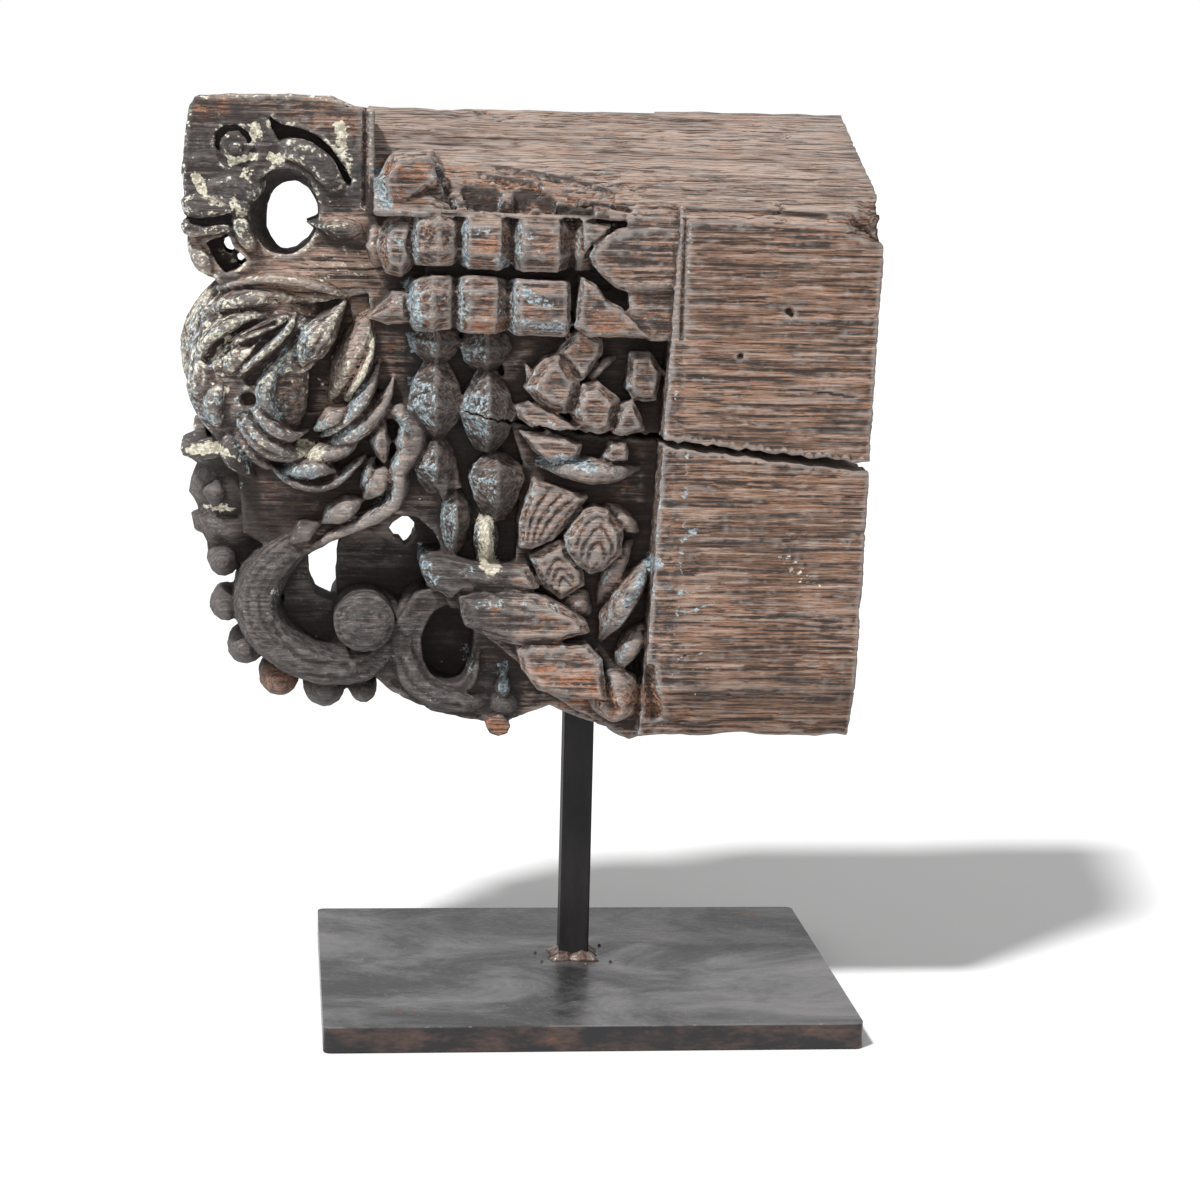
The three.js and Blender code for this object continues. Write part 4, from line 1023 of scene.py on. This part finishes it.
blue_dabs = [
    ([(-85, 220), (-82, 208)], 3, 1), ([(-62, 222), (-60, 214)], 3, 0.6), ([(-80, 199), (-76, 192)], 3.5, 0.8),
    ([(-66, 197), (-68, 185)], 2, 0.5), ([(-50, 199), (-44, 199)], 3, 0.8), ([(-40, 189), (-36, 186)], 2.5, 0.9),
    ([(-30, 199), (-27, 198)], 2.5, 0.9), ([(-72, 178), (-70, 168), (-69, 163)], 3, 1),
    ([(-58, 181), (-60, 174)], 2, 0.6), ([(-53, 176), (-50, 166)], 2, 0.8), ([(-38, 171), (-37, 168)], 2.5, 0.7),
    ([(-29, 177), (-27, 174), (-20, 172)], 2.6, 1), ([(-29, 165), (-22, 163), (-14, 163)], 3, 0.9),
    ([(-4, 171), (0, 168)], 3, 0.6), ([(6, 202), (2, 197)], 2, 0.5), ([(-71, 158), (-70, 152)], 1.8, 1),
    ([(-64, 155), (-60, 152)], 4, 0.4), ([(-70, 143), (-67, 132)], 3, 0.75), ([(-17, 151), (-12, 156)], 2, 0.6),
    ([(-19, 126), (-10, 123.5)], 2.5, 0.7), ([(8, 122), (14, 121)], 2, 0.5),
    ([(-20, 111), (-10, 112), (-2, 110)], 3, 1), ([(4, 109.5), (14, 108.5)], 2.2, 0.7),
    ([(-41, 105), (-40, 98)], 2.5, 0.5), ([(-65, 71), (-62, 66)], 3.5, 0.9), ([(-54, 70), (-42, 69)], 2, 0.6),
    ([(-45, 57), (-30, 58), (-15, 55)], 2.4, 0.7), ([(-42, 47), (-40, 42), (-34, 40)], 3, 0.6),
    ([(24, 74), (18, 66), (12, 57)], 2.6, 1), ([(13, 55), (10, 50)], 2.6, 0.8), ([(16, 38), (12, 31)], 2, 0.6),
    ([(-14, 34), (-8, 31), (2, 32)], 2, 0.5), ([(-9, 26), (2, 26)], 2, 0.5), ([(3, 37), (6, 26)], 1.2, 0.8),
    ([(-33, 28), (-33, 20)], 2.8, 0.9), ([(-66, 22), (-60, 17)], 3, 0.5), ([(-46, 36), (-46, 26)], 1.5, 0.7),
    ([(-118, 151), (-123, 143), (-125, 135), (-122, 127)], 3, 0.9), ([(-113, 161), (-111, 152)], 4, 0.8),
    ([(-100, 128), (-107, 121)], 2.4, 0.5), ([(-84, 123), (-92, 117)], 2.5, 0.4),
    ([(-119, 105), (-108, 106)], 3.5, 1), ([(-84, 148), (-91, 136)], 2.2, 0.5), ([(-72, 122), (-70, 114)], 3, 0.5),
    ([(-76, 104), (-82, 92), (-95, 84)], 2.4, 0.7), ([(-152, 148), (-144, 158), (-134, 163)], 1.6, 0.8),
    ([(-143, 132), (-143, 124)], 2.5, 0.6), ([(-135, 127), (-130, 119)], 2.4, 0.7),
    ([(-137, 116), (-132, 106)], 2.4, 0.7), ([(-140, 70), (-138, 62)], 3, 0.4), ([(-120, 60), (-124, 50)], 2, 0.6),
    ([(-76, 30), (-84, 24)], 3, 0.5), ([(33, 204), (33, 165)], 0.9, 0.9), ([(34, 120), (33, 75), (31, 40)], 1.0, 0.8),
    ([(29, 145), (28, 125)], 1, 0.6), ([(32, 83), (40, 88)], 0.9, 1), ([(30, 73), (38, 77)], 0.9, 0.8),
    ([(32, 62), (44, 65)], 1, 1), ([(31, 54), (46, 58)], 0.9, 0.9), ([(30, 36), (46, 39)], 0.9, 0.8),
    ([(30, 31), (44, 33)], 0.8, 0.7),

]
cream_dabs = [
    ([(-41.5, 86), (-41, 78), (-40.5, 71)], 3.4, 1), ([(-42, 73), (-38, 71)], 2.5, 1),
    ([(-154, 112), (-147, 112.5), (-142, 113)], 2.4, 1), ([(-150, 88), (-140, 88)], 1.2, 0.9),
    ([(-140, 222), (-135, 223.5), (-130, 224.5)], 1.6, 1), ([(-139, 207), (-136, 203)], 2, 0.9),
    ([(-131, 235), (-130, 232)], 2.3, 1), ([(-124.5, 224), (-121.5, 223.5)], 2.2, 1), ([(-134, 218)], 2.4, 0.8),
    ([(-153, 216), (-150, 210)], 2, 1), ([(-147, 207), (-143, 206)], 1.4, 0.9),
    ([(-120, 175), (-106, 180), (-92, 184)], 6, 0.3), ([(-99, 237), (-98, 229), (-96, 223)], 2.4, 0.9),
    ([(-97, 199.5)], 1.8, 0.8), ([(-110, 214), (-108, 206)], 1.5, 0.5), ([(-112, 114), (-106, 112)], 3, 0.9),
    ([(-87, 158), (-86, 152), (-90, 143), (-95, 133)], 1.2, 1), ([(-150, 155), (-144, 163), (-137, 167)], 4, 0.5),
    ([(-144, 150), (-139, 155)], 2.5, 0.6), ([(-122.8, 58.4)], 1.3, 1), ([(74, 76), (80, 70), (86, 64)], 4, 0.35),
    ([(-126, 172), (-110, 171)], 2.4, 0.4),

]
fresh_dabs = [
    ([(-80, 222), (-74, 219), (-68, 222)], 4.5, 0.9), ([(-49, 194), (-42, 194), (-41, 190)], 3.5, 1),
    ([(-50, 165), (-42, 163), (-36, 164)], 4, 0.9), ([(-48, 173), (-40, 171)], 4, 0.5),
    ([(-26, 190), (-14, 189)], 5, 0.45), ([(-5, 176), (-2, 167), (5, 163)], 4, 0.7), ([(14, 172), (27, 168)], 5, 0.6),
    ([(-25, 31), (-10, 29), (0, 24)], 6, 0.85), ([(-2, 18), (12, 17), (24, 18)], 9, 0.95),
    ([(-27, 37), (-24, 30)], 3, 0.7), ([(-38, 55), (-30, 52), (-20, 52)], 3.5, 0.6),
    ([(-152, 240), (-145, 243)], 6, 0.7), ([(-36.5, 6), (-32, 4)], 4, 1), ([(-124, 21), (-117, 19)], 6, 1),
    ([(-19, 142), (-15, 135)], 5, 0.4), ([(-2, 134), (3, 128)], 4, 0.4), ([(13, 129), (12, 124)], 3, 0.5),
    ([(-41, 103), (-36, 97)], 4, 0.35), ([(-24, 90), (-12, 96)], 5, 0.45), ([(-3, 86), (3, 77)], 7, 0.45),
    ([(42, 100), (80, 96)], 12, 0.35), ([(50, 180), (90, 186)], 9, 0.25), ([(40, 60), (90, 52)], 12, 0.35),
    ([(-132, 103), (-130, 101)], 2, 0.8), ([(-139, 108)], 3, 0.4), ([(38, 14), (70, 16), (100, 12)], 9, 0.55),
    ([(-55, 218), (-30, 214), (5, 209)], 8, 0.75),

]
# Dark dabs: painted shade in the wing's hollow, under the beak, on the ground below the wing and in the rotted
# pockets, and darker patches on the tail's foot and end, along the groove at its top and over the nose beads.
painted_shade_and_dark_dabs = [
    ([(40, 24), (100, 22)], 10, 0.55), ([(-136, 30), (-110, 14)], 6, 0.4), ([(84.5, 207), (60, 208.5)], 1.2, 0.8),
    ([(103, 120), (106, 60)], 4, 0.35), ([(-138, 90), (-122, 84), (-104, 97)], 9, 0.7),
    ([(-135, 106), (-134, 92), (-131, 80)], 7, 1), ([(-104, 193.5), (-92, 191.5)], 3.2, 0.9),
    ([(-112, 155), (-105, 143), (-108, 132)], 5, 0.6),

] + [(line, width * 0.9, 1) for line, width, _ in rot_pockets]
# Broad fields. Black are the scrolls, the head, part of the body, the stem and the strands. Blue paint is left on
# edges, with a painted blue highlight on facets that face the nose and the key light; cream is on the breast, and
# the neck and the wing's back feathers are bare and tan.
blackened = np.maximum.reduce((
    below(z, 68, 84) * below(x, -46, -38), below(z, 26, 34) * below(x, -30, -20) * rise(x, -50, -42),
    below(x, -92, -88) * rise(z, 188, 200) * below(z + 0.35 * x, 186, 208),
    0.45 * below(x, -120, -96) * below(z, 170, 180) * rise(z, 60, 80),
    0.9 * below(x, -137, -134) * below(z, 119, 121),
    0.6 * below(x, -33, -28) * rise(x, -76, -72) * below(z, 157, 161)))
lit_face = below(under_face, 2, 9)
# Blue paint left on edges, plus a painted blue highlight on facets that face the nose and the key light.
blue_and_highlight_field = below(x, 26, 30) * lit_face * (0.4 * edge + 0.45 * below(normals[:, 0], -0.85, -0.35) + 0.05)
blue_and_highlight_field += 0.3 * below(x, -90, -84) * below(z, 172, 178) * rise(z, 96, 104) * lit_face
blue_and_highlight_field *= 1 - 0.6 * blackened * below(z, 115, 125)
breast_cream = (np.maximum(0.36 * below(x, -142, -128), 0.6 * edge * below(x, -96, -90))
                * rise(z, 122, 140) * below(z, 172, 178))
general_cream = np.maximum.reduce((breast_cream, 0.5 * edge * below(x, -96, -90) * rise(z, 172, 180),
                                    0.38 * edge * below(x, -88, -82) * rise(z, 100, 108)))
neck_tan = dabs([
    ([(-120, 176), (-106, 180), (-90, 183)], 8.5, 1), ([(-90, 166), (-91, 156), (-95, 145), (-103, 130)], 4.6, 0.9),
    ([(-104, 202), (-90, 201)], 2.6, 0.8), ([(-110, 172), (-98, 176)], 4, 0.6),
    ([(-92, 204), (-92, 196)], 3.5, 0.5)])
# Painted blue highlight on facets of the strands and of the wing that face the key light.
blue_and_highlight_field += 0.45 * below(normals[:, 0], -0.75, -0.35) * below(x, -34, -30) * rise(x, -80, -76) * rise(z, 60, 66)
blue_and_highlight_field += (0.3 * below(normals[:, 0], -0.6, -0.2) * below(x, -90, -84) * rise(x, -132, -124)
                 * rise(z, 96, 104) * below(z, 172, 178))
blue_and_highlight_field *= 1 - neck_tan
recess_shade_and_grime *= (1 - 0.8 * neck_tan) * (1 - rise(normals[:, 2], 0.4, 0.75) * rise(z, 196, 204))
blackened *= 1 - neck_tan
# Painted shade on carved facets that face away from the key light, towards the tail.
painted_lee_shade = 0.5 * rise(normals[:, 0], 0.2, 0.75) * below(x, 26, 30) * below(z, 196, 204)
top_face = rise(normals[:, 2], 0.6, 0.85) * rise(z, 198, 204)
amounts = {"carved": carved, "recess_shade_and_grime": recess_shade_and_grime, "edge": edge, "top": np.maximum(top_face, neck_tan),
           "blue_and_painted_highlight": np.maximum(dabs(blue_dabs), blue_and_highlight_field) * (0.5 + 0.5 * front),
           "cream_paint": np.maximum(dabs(cream_dabs), general_cream) * (0.4 + 0.6 * front),
           "fresh_wood": dabs(fresh_dabs) * (0.4 + 0.6 * front),
           "shade_and_grime": np.maximum(dabs(painted_shade_and_dark_dabs), painted_lee_shade), "blackened": blackened}
for name, amount in amounts.items():
    kept = mesh.attributes.new(name, "FLOAT", "POINT")
    kept.data.foreach_set("value", np.clip(amount, 0, 1).astype(np.float32))

mesh.vertices.foreach_set("co", ((places + (0, POST_SETBACK, UNDERSIDE)) / 1000).ravel())
mesh.update()
mesh.polygons.foreach_set("use_smooth", [True] * len(mesh.polygons))

wood = Finish("weathered_teak")
line_noise = wood.noise((30.0, 900.0, 820.0), detail=5.0, roughness=0.68, distortion=0.25)
fine_lines = wood.noise((90.0, 1700.0, 1500.0), detail=3.0, roughness=0.6)
cloud = wood.noise((16.0, 40.0, 40.0), detail=5.0, roughness=0.6)
band = wood.noise((9.0, 90.0, 110.0), detail=4.0, roughness=0.6)
speck = wood.noise((560.0, 760.0, 760.0), detail=4.0, roughness=0.7)
blotch = wood.noise((130.0, 200.0, 200.0), detail=5.0, roughness=0.7)
flow = wood.noise((30.0, 60.0, 60.0), detail=3.0, roughness=0.6)

carved_amount = wood.attribute("carved")
edge_amount = wood.attribute("edge")
top_amount = wood.attribute("top")

tail_colour = wood.blend(wood.patch(band, 0.38, 0.62), (0.155, 0.080, 0.047), (0.280, 0.148, 0.090))
tail_colour = wood.blend(wood.patch(cloud, 0.52, 0.72), tail_colour, (0.340, 0.195, 0.125))
carved_colour = wood.blend(wood.patch(blotch, 0.42, 0.56), (0.075, 0.060, 0.054), (0.255, 0.125, 0.072))
carved_colour = wood.blend(wood.patch(speck, 0.53, 0.64, 0.0, 0.75), carved_colour, (0.205, 0.215, 0.220))
carved_colour = wood.blend(wood.patch(speck, 0.44, 0.36, 0.0, 0.9), carved_colour, (0.026, 0.021, 0.020))
colour = wood.blend(carved_amount, tail_colour, carved_colour)
top_colour = wood.blend(wood.patch(band, 0.36, 0.64), (0.290, 0.184, 0.134), (0.480, 0.335, 0.262))
colour = wood.blend(top_amount, colour, top_colour)
dark_colour = wood.blend(wood.patch(blotch, 0.40, 0.60), (0.024, 0.024, 0.026), (0.095, 0.085, 0.082))
dark_colour = wood.blend(wood.patch(speck, 0.55, 0.66, 0.0, 0.6), dark_colour, (0.21, 0.22, 0.23))
dark_amount = wood.patch(wood.plus(wood.attribute("blackened"), wood.times(flow, 0.8)), 0.55, 1.2)
colour = wood.blend(dark_amount, colour, dark_colour)
fresh = wood.patch(wood.plus(wood.times(wood.attribute("fresh_wood"), 0.5), blotch), 0.72, 0.96)
fresh_colour = wood.blend(wood.patch(speck, 0.4, 0.6), (0.240, 0.095, 0.045), (0.420, 0.190, 0.095))
colour = wood.blend(fresh, colour, fresh_colour)
colour = wood.blend(wood.patch(line_noise, 0.52, 0.42, 0.0, 1.0), colour, (0.026, 0.016, 0.013))
colour = wood.blend(wood.patch(fine_lines, 0.48, 0.38, 0.0, 0.75), colour, (0.045, 0.030, 0.025))
undarkened = wood.sum_up("SUBTRACT", 1.0, wood.times(dark_amount, 0.75))
pale_lines = wood.times(wood.patch(line_noise, 0.535, 0.63, 0.0, 0.7), undarkened)
colour = wood.blend(pale_lines, colour, (0.440, 0.330, 0.270))
# Convex edges go pale grey: wear, and a painted highlight on the arrises.
worn_and_highlit_edges = wood.times(edge_amount, wood.times(undarkened, 0.42))
colour = wood.blend(worn_and_highlit_edges, colour, (0.440, 0.400, 0.370))
# Painted shade in the recesses, under the beak, in the wing's hollow and on facets turned from the key light,
# together with grime and dark patches, darkens the colour towards near black.
shade_and_grime = wood.sum_up("MAXIMUM", wood.attribute("recess_shade_and_grime"), wood.attribute("shade_and_grime"))
shade_and_grime = wood.patch(wood.plus(shade_and_grime, wood.times(blotch, 0.6)), 0.5, 1.3, 0.0, 0.9)
colour = wood.blend(shade_and_grime, colour, (0.026, 0.018, 0.015))
paint_break = wood.plus(wood.times(speck, 0.75), wood.times(blotch, 0.75))
# Blue paint, with a painted blue-white highlight on facets that face the key light, broken up by noise.
blue = wood.patch(wood.plus(wood.times(wood.attribute("blue_and_painted_highlight"), 0.36), paint_break), 1.0, 1.14, 0.0, 0.9)
blue_colour = wood.blend(wood.patch(speck, 0.44, 0.62), (0.125, 0.175, 0.20), (0.46, 0.55, 0.58))
colour = wood.blend(blue, colour, blue_colour)
pitting = wood.noise((420.0, 520.0, 520.0), detail=2.0, roughness=0.5)
paint_break = wood.plus(wood.times(speck, 0.4), wood.times(blotch, 0.4), wood.times(pitting, 0.7))
cream = wood.patch(wood.plus(wood.times(wood.attribute("cream_paint"), 0.42), paint_break), 0.96, 1.06)
cream_colour = wood.blend(wood.patch(speck, 0.44, 0.6), (0.40, 0.355, 0.265), (0.80, 0.765, 0.63))
colour = wood.blend(cream, colour, cream_colour)

line_share = wood.sum_up("SUBTRACT", 1.3, wood.times(carved_amount, 0.7))
speck_share = wood.plus(0.15, wood.times(carved_amount, 0.6))
relief = wood.plus(wood.times(line_noise, line_share), wood.times(speck, speck_share))
normal = wood.bump(fine_lines, 0.0003, 0.5, wood.bump(relief, 0.0012, 0.9))
mesh.materials.clear()
mesh.materials.append(wood.finish(colour, wood.patch(speck, 0.2, 0.8, 0.6, 0.82), normal))

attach(skin, "root")
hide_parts("carved_corbel")
